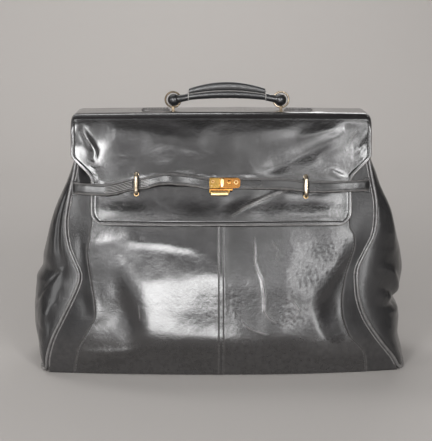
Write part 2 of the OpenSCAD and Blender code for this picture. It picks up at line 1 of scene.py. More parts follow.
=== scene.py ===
import json
import math
import bpy
import numpy as np
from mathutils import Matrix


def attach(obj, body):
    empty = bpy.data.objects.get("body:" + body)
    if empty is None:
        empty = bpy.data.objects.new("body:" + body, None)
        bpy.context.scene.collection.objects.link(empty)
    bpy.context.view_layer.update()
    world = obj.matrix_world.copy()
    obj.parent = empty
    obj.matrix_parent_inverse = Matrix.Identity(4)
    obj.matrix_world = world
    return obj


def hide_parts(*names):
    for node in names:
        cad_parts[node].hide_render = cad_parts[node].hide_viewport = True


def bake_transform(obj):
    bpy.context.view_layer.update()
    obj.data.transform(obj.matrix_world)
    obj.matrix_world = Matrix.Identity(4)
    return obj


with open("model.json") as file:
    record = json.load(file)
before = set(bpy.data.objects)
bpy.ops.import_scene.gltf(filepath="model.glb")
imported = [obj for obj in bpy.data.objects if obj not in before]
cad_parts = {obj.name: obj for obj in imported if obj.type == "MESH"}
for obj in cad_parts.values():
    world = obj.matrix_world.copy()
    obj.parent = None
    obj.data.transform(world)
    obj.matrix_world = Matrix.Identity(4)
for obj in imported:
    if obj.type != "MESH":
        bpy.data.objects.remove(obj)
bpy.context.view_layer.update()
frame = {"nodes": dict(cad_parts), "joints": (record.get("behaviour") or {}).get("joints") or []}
fullTurn, quarterTurn = 2 * math.pi, math.pi / 2
sides = ((-1, "Left"), (1, "Right"))


# Numbers and curves

def smoothCurve(points, at):
    # Cubic through the points, each with the slope between its neighbours, held level past the ends.
    # The points are place, value, place, value and so on, in millimetres
    knot, value = np.reshape(points, (-1, 2)).T / 1000
    slope = np.empty_like(value)
    slope[1:-1] = (value[2:] - value[:-2]) / (knot[2:] - knot[:-2])
    slope[0] = (value[1] - value[0]) / (knot[1] - knot[0])
    slope[-1] = (value[-1] - value[-2]) / (knot[-1] - knot[-2])
    at = np.asarray(at, float)
    i = np.clip(np.searchsorted(knot, at, side="right") - 1, 0, len(knot) - 2)
    h = knot[i + 1] - knot[i]
    t = np.clip((at - knot[i]) / h, 0, 1)
    lean = h * t * (1 - t) * ((1 - t) * slope[i] - t * slope[i + 1])
    return mix(value[i], value[i + 1], smoothStep(t)) + lean


def smoothStep(t):
    t = np.clip(t, 0, 1)
    return t * t * (3 - 2 * t)


def bell(t):
    return np.exp(-t * t)


def stack(*parts):
    return np.stack(np.broadcast_arrays(*parts), -1)


def join(*parts):
    return np.concatenate(parts)


def grid(rows, cols):
    return np.meshgrid(rows, cols, indexing="ij")


def mix(a, b, t):
    return a + (b - a) * t


def unit(v):
    return v / np.maximum(np.linalg.norm(v, axis=-1, keepdims=True), 1e-12)


def roundOff(past, r):
    # Fall of a quarter round of radius r, at a distance past its start
    past = np.clip(past, 0, r)
    return r - np.sqrt(np.maximum(r * r - past * past, 0))


def around(count):
    return np.linspace(0, fullTurn, count, endpoint=False)


def pathDistance(x, z, path):
    # Least distance from each (x, z) to the straight pieces of path, and the share of the path passed there
    lengths = np.linalg.norm(np.diff(path, axis=0), axis=1)
    passed = join([0], np.cumsum(lengths))
    best = np.full(np.shape(x), 1e9)
    along = np.zeros(np.shape(x))
    for k, (dx, dz) in enumerate(np.diff(path, axis=0)):
        t = np.clip(((x - path[k, 0]) * dx + (z - path[k, 1]) * dz) / lengths[k]**2, 0, 1)
        distance = np.hypot(x - path[k, 0] - t * dx, z - path[k, 1] - t * dz)
        nearer = distance < best
        best = np.where(nearer, distance, best)
        along = np.where(nearer, (passed[k] + t * lengths[k]) / passed[-1], along)
    return best, along


def foldRelief(x, z, folds, scale=0.001, ends=0.6):
    # Sum of height * exp(-(distance / width)^2) over the folds, each fading towards the ends of its path
    relief = np.zeros(np.shape(x))
    for height, width, *path in folds:
        distance, along = pathDistance(x, z, np.reshape(path, (-1, 2)) / 1000)
        relief += scale * height * bell(distance / width * 1000) * np.sin(np.pi * along)**ends
    return relief


def rubbed(x, z, lines):
    # Share of the polish that is rubbed off along lines given as folds, with a share for a height
    return foldRelief(x, z, lines, 1, 0.4)


def stepRelief(x, z, steps):
    # Sum of height * ((1 + tanh(distance / width)) / 2 - ramp) over the steps, distance being x past the
    # step's line at height z: steep at its line, with a ramp that brings it back to nothing within reach
    relief = np.zeros(np.shape(x))
    for width, height, reach, *line in steps:
        fade = np.sin(np.pi * np.clip((1000 * z - line[0]) / (line[-2] - line[0]), 0, 1))
        distance = 1000 * (x - smoothCurve(line, z))
        ramp = smoothStep(distance / reach / 2 + 0.5)
        relief += height / 1000 * fade * ((1 + np.tanh(distance / width)) / 2 - ramp)
    return relief


def domeRelief(x, z, domes, scale=0.001):
    # Sum of height * exp(-r^2), r measured from each dome's middle in its own turned and stretched axes
    relief = np.zeros(np.shape(x))
    for middleX, middleZ, alongSize, acrossSize, turn, height in domes:
        c, s = math.cos(math.radians(turn)), math.sin(math.radians(turn))
        dx, dz = 1000 * x - middleX, 1000 * z - middleZ
        relief += scale * height * bell((dx * c + dz * s) / alongSize) * bell((dz * c - dx * s) / acrossSize)
    return relief


def waveRelief(x, z, waves, count=16):
    # For each wave, a size, a height and a seed, the sum of cosines with random directions and phases and
    # lengths near the size: a soft uneven surface
    total = 0
    for size, height, seed in waves:
        rng = np.random.default_rng(seed)
        turns, lengths = rng.uniform(0, math.pi, count), size * rng.uniform(0.6, 1.8, count)
        relief = np.zeros(np.shape(x))
        for turn, length, phase in zip(turns, lengths, rng.uniform(0, fullTurn, count)):
            relief += np.cos(fullTurn * (x * math.cos(turn) + z * math.sin(turn)) / length + phase)
        total = total + height * relief / math.sqrt(count)
    return total


def smoothPath(path, passes):
    # Each inner point moves to the mean of itself and its neighbours
    path = np.array(path, float)
    for _ in range(passes):
        path[1:-1] = (path[:-2] + 2 * path[1:-1] + path[2:]) / 4
    return path


def resample(path, step):
    # Points the same distance apart along a path
    passed = join([0], np.cumsum(np.linalg.norm(np.diff(path, axis=0), axis=1)))
    at = np.linspace(0, passed[-1], max(2, int(round(passed[-1] / step)) + 1))
    return stack(*(np.interp(at, passed, column) for column in np.transpose(path)))


# Meshes

def gridQuads(rows, cols, first=0, wrap=False):
    # Four-cornered faces between neighbouring rows and columns of points numbered row by row
    i, j = grid(np.arange(rows - 1), np.arange(cols if wrap else cols - 1))
    low, high, k = first + i * cols, first + (i + 1) * cols, (j + 1) % cols
    return stack(low + j, low + k, high + k, high + j).reshape(-1, 4)


def addObject(name, data):
    made = bpy.data.objects.new(name, data)
    bpy.context.scene.collection.objects.link(made)
    return made


def addPiece(name, points, faces, material, sharp=50):
    # Mesh object whose faces point outwards: they are turned round if the volume they enclose is negative
    points = np.asarray(points, float).reshape(-1, 3)
    mesh = bpy.data.meshes.new(name)
    mesh.from_pydata(points.tolist(), [], [list(f) for f in faces])
    mesh.calc_loop_triangles()
    corners = np.zeros(len(mesh.loop_triangles) * 3, int)
    mesh.loop_triangles.foreach_get("vertices", corners)
    a, b, c = points[corners].reshape(-1, 3, 3).transpose(1, 0, 2)
    if (a * np.cross(b, c)).sum() < 0:
        mesh.flip_normals()
    mesh.polygons.foreach_set("use_smooth", np.ones(len(faces), bool))
    mesh.set_sharp_from_angle(angle=math.radians(sharp))
    mesh.materials.append(material)
    return addObject(name, mesh)


def addValue(piece, name, values):
    # One number for each point of the piece, which its material reads
    values = np.asarray(values, np.float32).ravel()
    piece.data.attributes.new(name, "FLOAT", "POINT").data.foreach_set("value", values)


def sheetPiece(name, outer, inner, material, wear=None, crackle=None):
    # Closed wall between two grids of points of the same size
    rows, cols = outer.shape[:2]
    count = rows * cols
    index = np.arange(count).reshape(rows, cols)
    border = join(index[0], index[1:, -1], index[-1, -2::-1], index[-2::-1, 0])
    rim = stack(border[:-1], border[1:], border[1:] + count, border[:-1] + count)
    faces = join(gridQuads(rows, cols), gridQuads(rows, cols, count)[:, ::-1], rim[:, ::-1])
    piece = addPiece(name, join(outer.reshape(-1, 3), inner.reshape(-1, 3)), faces, material)
    for label, values in (("wear", wear), ("crackle", crackle)):
        if values is not None:
            addValue(piece, label, np.tile(values.ravel(), 2))
    return piece


def ringPiece(name, rings, material, wear=None, sharp=50):
    # Closed tube through rings of points, with a flat face at both ends
    rows, cols = rings.shape[:2]
    faces = gridQuads(rows, cols, wrap=True).tolist()
    faces += [list(range(cols))[::-1], list(range((rows - 1) * cols, rows * cols))]
    piece = addPiece(name, rings, faces, material, sharp)
    if wear is not None:
        addValue(piece, "wear", np.broadcast_to(wear, (rows, cols)))
    return piece


def tubeRings(path, radii, count, up=(0.0, 0, 1)):
    # Circle of the given radius round every point of a path, square to it
    along = unit(np.gradient(path, axis=0))
    side = unit(np.cross(along, up))
    over = np.cross(side, along)
    turn = around(count)[None, :, None]
    radii = np.reshape(radii, (-1, 1, 1))
    return path[:, None] + radii * (side[:, None] * np.cos(turn) + over[:, None] * np.sin(turn))


def stitchRow(name, path, outward, material, pitch=0.0042, length=0.0029, thick=0.0008):
    # Short round-ended threads along a path: each is four rings of six points about its own stretch of it
    line = resample(np.concatenate([path, np.broadcast_to(outward, np.shape(path))], 1), pitch)
    middle, out = (line[:-1, :3] + line[1:, :3]) / 2, unit(line[:-1, 3:] + line[1:, 3:])
    along = unit(np.diff(line[:, :3], axis=0))
    side = unit(np.cross(along, out))
    middle, out, along, side = (v[:, None, None] for v in (middle, out, along, side))
    shift = np.array([-0.5, -0.34, 0.34, 0.5])[:, None, None] * length
    radius = np.array([0.3, 1, 1, 0.3])[:, None, None] * thick / 2
    turn = around(6)[:, None]
    points = middle + along * shift + side * (radius * np.cos(turn)) + out * (radius * np.sin(turn))
    first = 24 * np.arange(len(middle))[:, None, None]
    ends = np.array([[5, 4, 3, 2, 1, 0], [18, 19, 20, 21, 22, 23]])
    faces = (gridQuads(4, 6, wrap=True) + first).reshape(-1, 4).tolist()
    faces += (ends + first).reshape(-1, 6).tolist()
    return addPiece(name, points, faces, material, 80)


def finishPiece(piece, slotName, nodes):
    # Hides the CAD parts that it stands for; slotName is not used
    if nodes:
        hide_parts(*nodes)
    return piece


def put(piece, body, slotName, *nodes):
    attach(piece, body)
    return finishPiece(piece, slotName, nodes)


def putBent(piece, bodies, start, end, slotName, *nodes):
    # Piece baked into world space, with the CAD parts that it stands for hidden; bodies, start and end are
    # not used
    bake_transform(piece)
    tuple(start)
    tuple(end)
    return finishPiece(piece, slotName, nodes)


# Materials

def setInputs(tree, node, inputs):
    # An input given as a socket is linked, and any other is set
    for key, value in inputs.items():
        if isinstance(value, bpy.types.NodeSocket):
            tree.links.new(value, node.inputs[key])
        else:
            node.inputs[key].default_value = value


def addNode(tree, kind, inputs, **options):
    node = tree.nodes.new("ShaderNode" + kind)
    for key, value in options.items():
        setattr(node, key, value)
    setInputs(tree, node, inputs)
    return node


def pattern(tree, kind, size, **inputs):
    # Texture in the piece's own coordinates
    place = addNode(tree, "TexCoord", {}).outputs["Object"]
    return addNode(tree, kind, {"Vector": place, "Scale": size, **inputs}).outputs[0]


def spread(tree, value, low, high, lowTo=0.0, highTo=1.0):
    ends = {"From Min": low, "From Max": high, "To Min": lowTo, "To Max": highTo}
    return addNode(tree, "MapRange", {"Value": value, **ends}).outputs["Result"]


def blendTone(tree, share, first, second):
    return addNode(tree, "Mix", {0: share, 6: first, 7: second}, data_type="RGBA").outputs[2]


def bump(tree, height, strength, distance, **under):
    inputs = {"Height": height, "Strength": strength, "Distance": distance, **under}
    return addNode(tree, "Bump", inputs).outputs["Normal"]


def shade(tone, share=1.0):
    return (*[c * share for c in tone], 1)


def newMaterial(name, makeInputs):
    # Material whose shader inputs come from a function of its node tree
    material = bpy.data.materials.new(name)
    material.use_nodes = True
    tree = material.node_tree
    setInputs(tree, tree.nodes["Principled BSDF"], makeInputs(tree))
    return material


hide = dict(grain=0.3, crease=0.2, rubLow=0.35, rubHigh=0.84)


def leather(name, tone, worn, roughness, coat, creaseSize=70, gloss=0.5):
    # Polished hide: grain that breaks up the gloss, soft creases, and a paler tone where it is worn. On the
    # body's sheets the same paler tone near the floor is painted floor light
    def inputs(tree):
        def noise(size, detail, **more):
            return pattern(tree, "TexNoise", size, Detail=detail, Roughness=0.6, **more)

        clouds = noise(9, 5)
        mottled = blendTone(tree, spread(tree, clouds, 0.35, 0.65), shade(tone, 0.8), shade(tone, 1.3))
        wear, crackle = (addNode(tree, "Attribute", {}, attribute_name=label).outputs["Fac"]
                         for label in ("wear", "crackle"))
        patches = spread(tree, noise(160, 4), 0.3, 0.7, hide["rubLow"], hide["rubHigh"])
        # The wear share also carries painted floor light on the body's sheets
        scuffsAndFloorLight = addNode(tree, "Math", {0: wear, 1: patches}, operation="MULTIPLY", use_clamp=True).outputs[0]
        cracks = spread(tree, crackle, 0, 1, hide["grain"] * 0.3, hide["grain"] * 3.2)
        normal = bump(tree, noise(creaseSize, 6, Distortion=1.2), hide["crease"], 0.002)
        normal = bump(tree, noise(300, 3, Distortion=0.6), cracks, 0.0013, Normal=normal)
        pores = pattern(tree, "TexVoronoi", 1300)
        return {"Base Color": blendTone(tree, scuffsAndFloorLight, mottled, shade(worn)), "Specular IOR Level": gloss,
                "Roughness": spread(tree, clouds, 0.3, 0.7, roughness * 0.85, roughness * 1.2),
                "Coat Weight": coat, "Coat Roughness": roughness * 0.6,
                "Normal": bump(tree, pores, hide["grain"], 0.00006, Normal=normal)}

    return newMaterial(name, inputs)


def metal(name, tone, dark, roughness):
    # Plated metal, rubbed bright in places and tarnished in others
    def inputs(tree):
        patchy = spread(tree, pattern(tree, "TexNoise", 60, Detail=6, Roughness=0.7), 0.42, 0.7)
        return {"Base Color": blendTone(tree, patchy, shade(tone), shade(dark)), "Metallic": 1,
                "Roughness": spread(tree, patchy, 0, 1, roughness, roughness + 0.25),
                "Normal": bump(tree, pattern(tree, "TexNoise", 900, Detail=3), 0.15, 0.0003)}

    return newMaterial(name, inputs)


def cloth(name, tone, roughness, fuzz):
    # Brushed suede or fibre board: a mottled dull surface with a soft nap
    def inputs(tree):
        mottle = pattern(tree, "TexNoise", 70, Detail=8, Roughness=0.7)
        return {"Base Color": blendTone(tree, mottle, shade(tone, 0.7), shade(tone, 1.3)),
                "Roughness": roughness, "Sheen Weight": fuzz,
                "Normal": bump(tree, pattern(tree, "TexNoise", 1200, Detail=4), 0.5, 0.0005)}

    return newMaterial(name, inputs)


# Paler tone of rubbed places, and of the painted floor light near the foot of the body's sheets
rubbedAndFloorLitTone = (0.34, 0.32, 0.31)
bodyLeather = leather("bodyLeather", (0.0115, 0.0111, 0.0116), rubbedAndFloorLitTone, 0.19, 0.7)
sideLeather = leather("sideLeather", (0.02, 0.0195, 0.02), rubbedAndFloorLitTone, 0.22, 0.12, gloss=0.2)
gussetLeather = leather("gussetLeather", (0.02, 0.0195, 0.02), rubbedAndFloorLitTone, 0.24, 0.4, gloss=0.4)
seamLeather = leather("seamLeather", (0.028, 0.027, 0.028), (0.46, 0.44, 0.43), 0.25, 0.5)
flapLeather = leather("flapLeather", (0.0115, 0.011, 0.0114), rubbedAndFloorLitTone, 0.19, 0.65)
handleLeather = leather("handleLeather", (0.014, 0.014, 0.015), (0.3, 0.29, 0.28), 0.3, 0.35, creaseSize=140)
bindingLeather = leather("bindingLeather", (0.27, 0.26, 0.25), (0.4, 0.38, 0.36), 0.5, 0.1)
paleLineLeather = leather("paleLineLeather", (0.13, 0.125, 0.12), (0.3, 0.29, 0.28), 0.35, 0.3)
strapLeather = leather("strapLeather", (0.013, 0.0125, 0.0128), (0.36, 0.34, 0.33), 0.27, 0.2, 110, 0.4)
facingLeather = leather("facingLeather", (0.045, 0.042, 0.042), rubbedAndFloorLitTone, 0.4, 0.1)
threadFinish = cloth("threadFinish", (0.045, 0.043, 0.042), 0.6, 0.1)
paleThread = cloth("paleThread", (0.3, 0.29, 0.28), 0.5, 0.1)
suede = cloth("suede", (0.25, 0.19, 0.14), 0.9, 0.4)
fibreBoard = cloth("fibreBoard", (0.2, 0.16, 0.12), 0.95, 0.0)
wornBrass = metal("wornBrass", (0.5, 0.42, 0.32), (0.1, 0.075, 0.05), 0.2)
agedBrass = metal("agedBrass", (0.16, 0.125, 0.085), (0.07, 0.055, 0.04), 0.3)
giltBrass = metal("giltBrass", (0.4, 0.25, 0.07), (0.13, 0.07, 0.02), 0.2)
copperBrass = metal("copperBrass", (0.33, 0.15, 0.04), (0.11, 0.05, 0.015), 0.22)
rubbedGilt = metal("rubbedGilt", (0.7, 0.5, 0.27), (0.36, 0.21, 0.09), 0.26)
print("materials made")


# Camera, from a fit to the photo, whose frame is 432 by 441 pixels

view = dict(focalPixels=1090.64, imageHeight=441, sensor=36, place=(-0.00716, -1.54839, 0.53059), tilt=77.932)
cameraData = bpy.data.cameras.new("camera")
cameraData.sensor_width = view["sensor"]
cameraData.lens = view["sensor"] * view["focalPixels"] / view["imageHeight"]
camera = addObject("camera", cameraData)
camera.location = view["place"]
camera.rotation_euler = (math.radians(view["tilt"]), 0, 0)
bpy.context.scene.camera = camera


# Shape of the soft body: x across, z up, with the depth found from both. Curves are z and a distance in
# millimetres, in turn, for the left (-1) and the right (1)

body = dict(
    height=0.352, wall=0.0024, seamWidth=0.006, footRound=0.004, sag=0.02, pipingGap=0.0022, mouthFade=0.05,
    frontWaves=[(0.09, 0.0005, 3), (0.03, 0.00007, 4)], fineWaves=[(0.008, 0.00007, 11)],
    backWaves=[(0.11, 0.0016, 21), (0.04, 0.0003, 22)],
    midDepth=[0, 103.5, 30, 108.5, 45, 112.2, 55, 112.6, 66, 111.3, 100, 105.5, 137, 99.5, 180, 86.4, 352,
              36],
    depth={-1: [0, 93, 55, 94.5, 203.5, 71.4, 352, 36],
           1: [0, 82, 55, 92, 203.5, 71.4, 352, 36]},
    edge={-1: [0, 244.5, 20, 244.5, 49, 236.5, 78, 222.5, 106, 208.5, 128, 199, 141, 197.5, 158, 204.5, 180,
               213, 210, 216.3, 242, 212, 290, 202.5, 352, 198],
          1: [0, 252.5, 19, 244, 49, 221, 78, 202, 106, 192, 134, 189, 150, 190.5, 172, 201, 194, 212, 215,
              215.5, 242, 215, 269, 210, 310, 203, 352, 198]},
    seam={-1: [0, 207, 24, 202.5, 39, 199, 53, 191, 68, 183, 82, 175.5, 105, 176, 140, 182, 174, 186, 193,
               182, 240, 176, 352, 172],
          1: [0, 205, 18, 203, 32, 200, 41, 194, 54, 181, 71, 173, 85, 169, 106, 168, 125, 170, 144, 174,
              162, 180, 180, 185, 195, 184, 206, 178, 352, 172]},
    swell={-1: [0, 13, 28, 22, 58, 38, 88, 54, 121, 65, 148, 59, 177, 41.5, 207, 29.5, 236, 21.5, 264, 12.5,
                305, 4, 352, -3],
           1: [0, 12, 38, 29, 66, 51, 81, 57, 91, 57.5, 103, 66, 129, 74, 144, 74, 158, 67.5, 192, 43, 228,
               27.5, 259, 15.5, 305, 5, 352, -3]})

# A fold is a height, a width and the x and z of its path's points, all in millimetres
frontFolds = [(1.1, 10, -185, 176, -155, 186, -124, 191, -85, 188, -48, 181, 0, 166),
    (0.5, 1.5, 46, 195, 46, 160, 56, 137, 59.5, 113, 59.5, 94, 75, 78), (0.3, 3, 30, 80, 45, 68, 65, 60),
    (0.5, 17, -60, 96, 0, 100, 50, 104, 120, 107), (0.7, 5, -205, 34, -160, 34, -120, 38, -100, 47),
    (-1, 8, -200, 120, -189, 100, -186, 80), (-1, 6, -195, 200, -196, 160, -188, 130),
    (-10, 10, -193, 300, -190, 280, -188, 262)]
# A step is a width, the rise on its far side, the reach of its ramps, and the z and x of its line's points
frontSteps = [(12, 5.2, 65, 15, -100, 50, -112, 88, -122, 115, -130, 165, -145),
    (11, -4.5, 45, 10, 185, 30, 172, 50, 158, 70, 147, 90, 142, 112, 144, 140, 160, 180, 184, 220, 195)]
# A dome is x, z, two sizes, a turn in degrees and a height, and a crinkled patch has a share for its height
frontDomes = [(-60, 90, 60, 40, 0, 0.4), (-195, 60, 20, 30, -20, 1), (85, 130, 60, 60, 0, 0.4),
    (-150, 145, 30, 30, 0, 1), (190, 40, 30, 30, 0, 1), (150, 50, 30, 45, 0, 3)]
crinkles = [(95, 85, 22, 20, 30, 1), (20, 100, 12, 50, 0, 0.6), (100, 150, 50, 40, 0, 0.6),
    (-190, 200, 20, 15, 0, 0.9), (150, 170, 30, 30, 0, 0.7), (-30, 110, 40, 40, 0, 0.35)]
# A rubbed line is a share, a width and the x and z of its points
frontRubs = [(0.45, 1.1, 46, 195, 46, 178, 47, 160, 56, 137, 59.5, 113, 59.5, 94, 66, 84, 80, 76),
    (0.3, 1.1, 30, 80, 37, 72, 45, 68, 65, 62), (0.3, 1.1, 88, 110, 100, 106, 108, 94, 100, 82, 88, 80),
    (0.2, 1, 70, 190, 78, 175, 74, 160), (0.3, 1, -114, 105, -113, 92, -112, 80)]


def sideCurve(label, x, z):
    # One of the body's curves, the left's or the right's as x is
    return np.where(x < 0, smoothCurve(body[label][-1], z), smoothCurve(body[label][1], z))


def bodyDepth(x, z):
    # Depth at x and z: from the middle's depth to the edge's along |x / edge|^2.2, with the foot rounded
    # under. The belly sags lower past the middle of each half
    far = np.abs(x)
    share = np.clip(far / sideCurve("edge", x, z), 0, 1)**2.2
    sag = smoothStep((far - 0.095) / 0.07) * smoothStep(z / 0.03) * smoothStep((0.12 - z) / 0.05)
    middle = smoothCurve(body["midDepth"], z + body["sag"] * sag)
    depth = mix(middle, sideCurve("depth", x, z), share)
    return depth - roundOff(body["footRound"] - z, body["footRound"])


def mouthFade(z):
    return smoothStep((body["height"] - z) / body["mouthFade"])


def edgeFade(x, z):
    # 0 at the pipings, floor and mouth, and 1 away from them
    side = smoothStep((sideCurve("edge", x, z) - np.abs(x)) / 0.022)
    return side * smoothStep((z - 0.004) / 0.03) * mouthFade(z)


def frontRelief(x, z):
    folds = foldRelief(x, z, frontFolds) + domeRelief(x, z, frontDomes) + stepRelief(x, z, frontSteps)
    fine = domeRelief(x, z, crinkles, 1) * waveRelief(x * 1.2, z, body["fineWaves"])
    return edgeFade(x, z) * (folds + waveRelief(x, z, body["frontWaves"]) + fine)


def frontPoint(x, z, out):
    # Point of the front, out in front of the leather's outer face
    return stack(x, -(bodyDepth(x, z) + frontRelief(x, z) + out), z)


def backPoint(x, z, out):
    return stack(x, bodyDepth(x, z) + edgeFade(x, z) * waveRelief(x, z, body["backWaves"]) + out, z)


def spaced(length, step, lip=0.002):
    # Shares of a length, about step apart and closer within lip of both ends
    near = np.array([0, 0.1, 0.3, 0.6]) * lip
    middle = np.linspace(lip, length - lip, max(2, int(round((length - 2 * lip) / step)) + 1))
    return join(near, middle, (length - near)[::-1]) / length


def wallHalf(distance, thickness):
    # Half thickness of a sheet at a distance from its border, where its edge is a half round
    share = np.clip(distance / (thickness / 2), 0, 1)
    return thickness / 2 * np.sqrt(np.clip(1 - (1 - share)**2, 0.02, 1))


paintedFloorLight = dict(share=0.08, top=0.035, fade=0.045)  # painted floor light: the base colour is paler near the floor, standing in for light reflected from the floor


def bodySheet(name, leftX, rightX, pointAt, material, slotName, node, out=0.0, thickness=body["wall"],
              low=0.0, high=body["height"], step=0.002, seamLift=0.0, wearReach=0.0007, rubs=()):
    # Sheet on the bag between two edges given as functions of height, lifted by seamLift along both
    z = mix(low, high, spaced(high - low, step))
    left, right = leftX(z)[:, None], rightX(z)[:, None]
    x = left + (right - left) * spaced(float(np.mean(right - left)), step)
    z = np.broadcast_to(z[:, None], x.shape)
    toSide = np.minimum(x - left, right - x)
    half = wallHalf(np.minimum(toSide, np.minimum(z - low, high - z)), thickness)
    lift = out + seamLift * bell(toSide / 0.006) - thickness / 2
    wear = 0.4 * np.exp(-toSide / wearReach) + rubbed(x, z, rubs)
    # Painted floor light: more of the pale tone towards the floor, in place of light reflected from the floor
    wear = wear + paintedFloorLight["share"] * (1 - smoothStep((z - paintedFloorLight["top"]) / paintedFloorLight["fade"]))
    crackle = np.clip(domeRelief(x, z, crinkles, 1), 0, 1)
    sheet = sheetPiece(name, pointAt(x, z, lift + half), pointAt(x, z, lift - half), material, wear, crackle)
    return put(sheet, "bag", slotName, node)


def levelX(x):
    return lambda z: 0 * z + x


def curveX(label, side, inset=0.0):
    # The body's edge or seam on one side, as a function of height
    return lambda z: side * (smoothCurve(body[label][side], z) - inset)


pipingGap, seamX = body["pipingGap"], body["seamWidth"] / 2
panel = dict(seamLift=0.0004, step=0.0014, rubs=frontRubs)
bodySheet("frontPanelLeft", curveX("seam", -1), levelX(-seamX), frontPoint, bodyLeather, "body_leather",
          "front_panel_left", **panel)
bodySheet("frontPanelRight", levelX(seamX), curveX("seam", 1), frontPoint, bodyLeather, "body_leather",
          "front_panel_right", **panel)
bodySheet("centreSeam", levelX(-seamX - 0.0006), levelX(seamX + 0.0006), frontPoint, bodyLeather,
          "seam_leather", "centre_seam_strip", out=0.0007, thickness=0.0022, step=0.001, wearReach=0.0004)
bodySheet("sideStripLeft", curveX("edge", -1, pipingGap), curveX("seam", -1), frontPoint, sideLeather,
          "side_leather", "front_side_strip_left", out=-0.0004)
bodySheet("sideStripRight", curveX("seam", 1), curveX("edge", 1, pipingGap), frontPoint, sideLeather,
          "side_leather", "front_side_strip_right", out=-0.0004)
bodySheet("backPanel", curveX("edge", -1, pipingGap), curveX("edge", 1, pipingGap), backPoint, bodyLeather,
          "body_leather", "back_panel", step=0.003)
for name, xAt, out in (("seamStitchesA", levelX(-0.0021), 0.0012), ("seamStitchesB", levelX(0.0021), 0.0012),
                       ("stripStitchesLeft", curveX("seam", -1, 0.0022), 0.0003),
                       ("stripStitchesRight", curveX("seam", 1, 0.0022), 0.0003)):
    z = np.linspace(0.004, 0.35, 120)
    row = stitchRow(name, frontPoint(xAt(z), z, out), (0.0, -1.0, 0.1), threadFinish)
    put(row, "bag", "seam_leather")
print("front and back made")


# Gussets: half an oval from piping to piping, swelling out, with the creases of a bag that sags.
# In the paths of their folds, turn / 0.9 stands for x

gusset = dict(
    inset=0.0069, low=0.0049, foldDepth=0.008, foldTurn=8, foldSpread=28, foldFoot=0.137, foldRise=0.078,
    waves=[(0.07, 0.0005, 31), (0.018, 0.00012, 41)],
    folds={-1: [(2.2, 8, -75, 133, -30, 124, 20, 122, 60, 130),
                (-3, 9, -90, 260, -83, 220, -81, 180, -79, 145),
                (-1.6, 3, -80, 150, -66, 130, -45, 98, -15, 80), (2.5, 14, -75, 100, -70, 80, -66, 60),
                (-1, 12, -60, 40, -30, 35, 20, 35)],
           1: [(3, 5.5, -78, 150, -55, 137, -35, 113, -22, 100),
               (-5.5, 7.5, -75, 125, -55, 112, -35, 94, 0, 91, 30, 98), (3, 5, -58, 104, -45, 100),
               (2, 4.5, -62, 82, -40, 78, -18, 80), (1.2, 10, -60, 240, -50, 200, -45, 165)]})


def gussetPoint(side, turn, z, out):
    # Half oval about the edge, with a soft fold pressed in along its upper middle: x = edge + swell cos^0.8 -
    # fold, y = half depth sin, both moved out along (cos, sin) of 3/4 of the turn
    along = turn / 90 * 0.1
    half = smoothCurve(body["depth"][side], z) - gusset["inset"]
    cosine = np.maximum(np.cos(np.radians(turn)), 0)
    waves = [(size, height, seed + side) for size, height, seed in gusset["waves"]]
    relief = foldRelief(along, z, gusset["folds"][side]) + waveRelief(along, z, waves)
    moved = out + smoothStep(cosine / 0.35) * smoothStep(z / 0.03) * mouthFade(z) * relief
    lean = np.radians(turn * 0.75)
    fold = gusset["foldDepth"] * bell((turn - gusset["foldTurn"]) / gusset["foldSpread"])
    fold = fold * smoothStep((z - gusset["foldFoot"]) / gusset["foldRise"]) * mouthFade(z)
    x = smoothCurve(body["edge"][side], z) + smoothCurve(body["swell"][side], z) * cosine**0.8 - fold
    x = side * (x + moved * np.cos(lean))
    return stack(x, half * np.sin(np.radians(turn)) + moved * np.sin(lean), z)


def gussetSheets(name, out, thickness, low, high, rows, cols, material, slotName, node):
    turn, z = np.meshgrid(np.linspace(-90, 90, cols), np.linspace(low, high, rows))
    for side, label in sides:
        outer, inner = gussetPoint(side, turn, z, out), gussetPoint(side, turn, z, out - thickness)
        put(sheetPiece(name + label, outer, inner, material, 0 * turn), "bag", slotName, node + label.lower())


gussetSheets("gusset", 0, body["wall"], gusset["low"], body["height"], 150, 110, gussetLeather,
             "side_leather", "gusset_")


# Piping: a cord round the edge of each gusset, with a thinner welt stitched beside it

piping = dict(radius=0.0024, welt=0.0011, weltShift=0.0042, sink=0.0022, sides=12)


def pipingPath(side, shift, sink):
    # Down the front edge, round the foot of the gusset and up the back
    z = np.linspace(body["height"], piping["radius"] * 3, 150)
    x = smoothCurve(body["edge"][side], z) - shift
    front = stack(side * x, sink - smoothCurve(body["depth"][side], z), z)
    turn = np.linspace(-78, 78, 40)
    foot = gussetPoint(side, turn, 0 * turn + gusset["low"], -shift)
    foot[:, 2] = piping["radius"]
    return resample(smoothPath(join(front, foot, (front * (1, -1, 1))[::-1]), 3), 0.0025)


for side, label in sides:
    up = (side, 0.05, 0.02)
    rings = tubeRings(pipingPath(side, 0.0, piping["sink"]), piping["radius"], piping["sides"], up)
    outer = 0.45 * (0.5 + 0.5 * np.sin(around(piping["sides"])))
    put(ringPiece("piping" + label, rings, seamLeather, outer), "bag", "seam_leather",
        "piping_" + label.lower())
    rings = tubeRings(pipingPath(side, piping["weltShift"], -0.0002), piping["welt"], 8, up)
    put(ringPiece("welt" + label, rings, seamLeather, 0.35), "bag", "seam_leather")
print("gussets and piping made")


# Base and linings

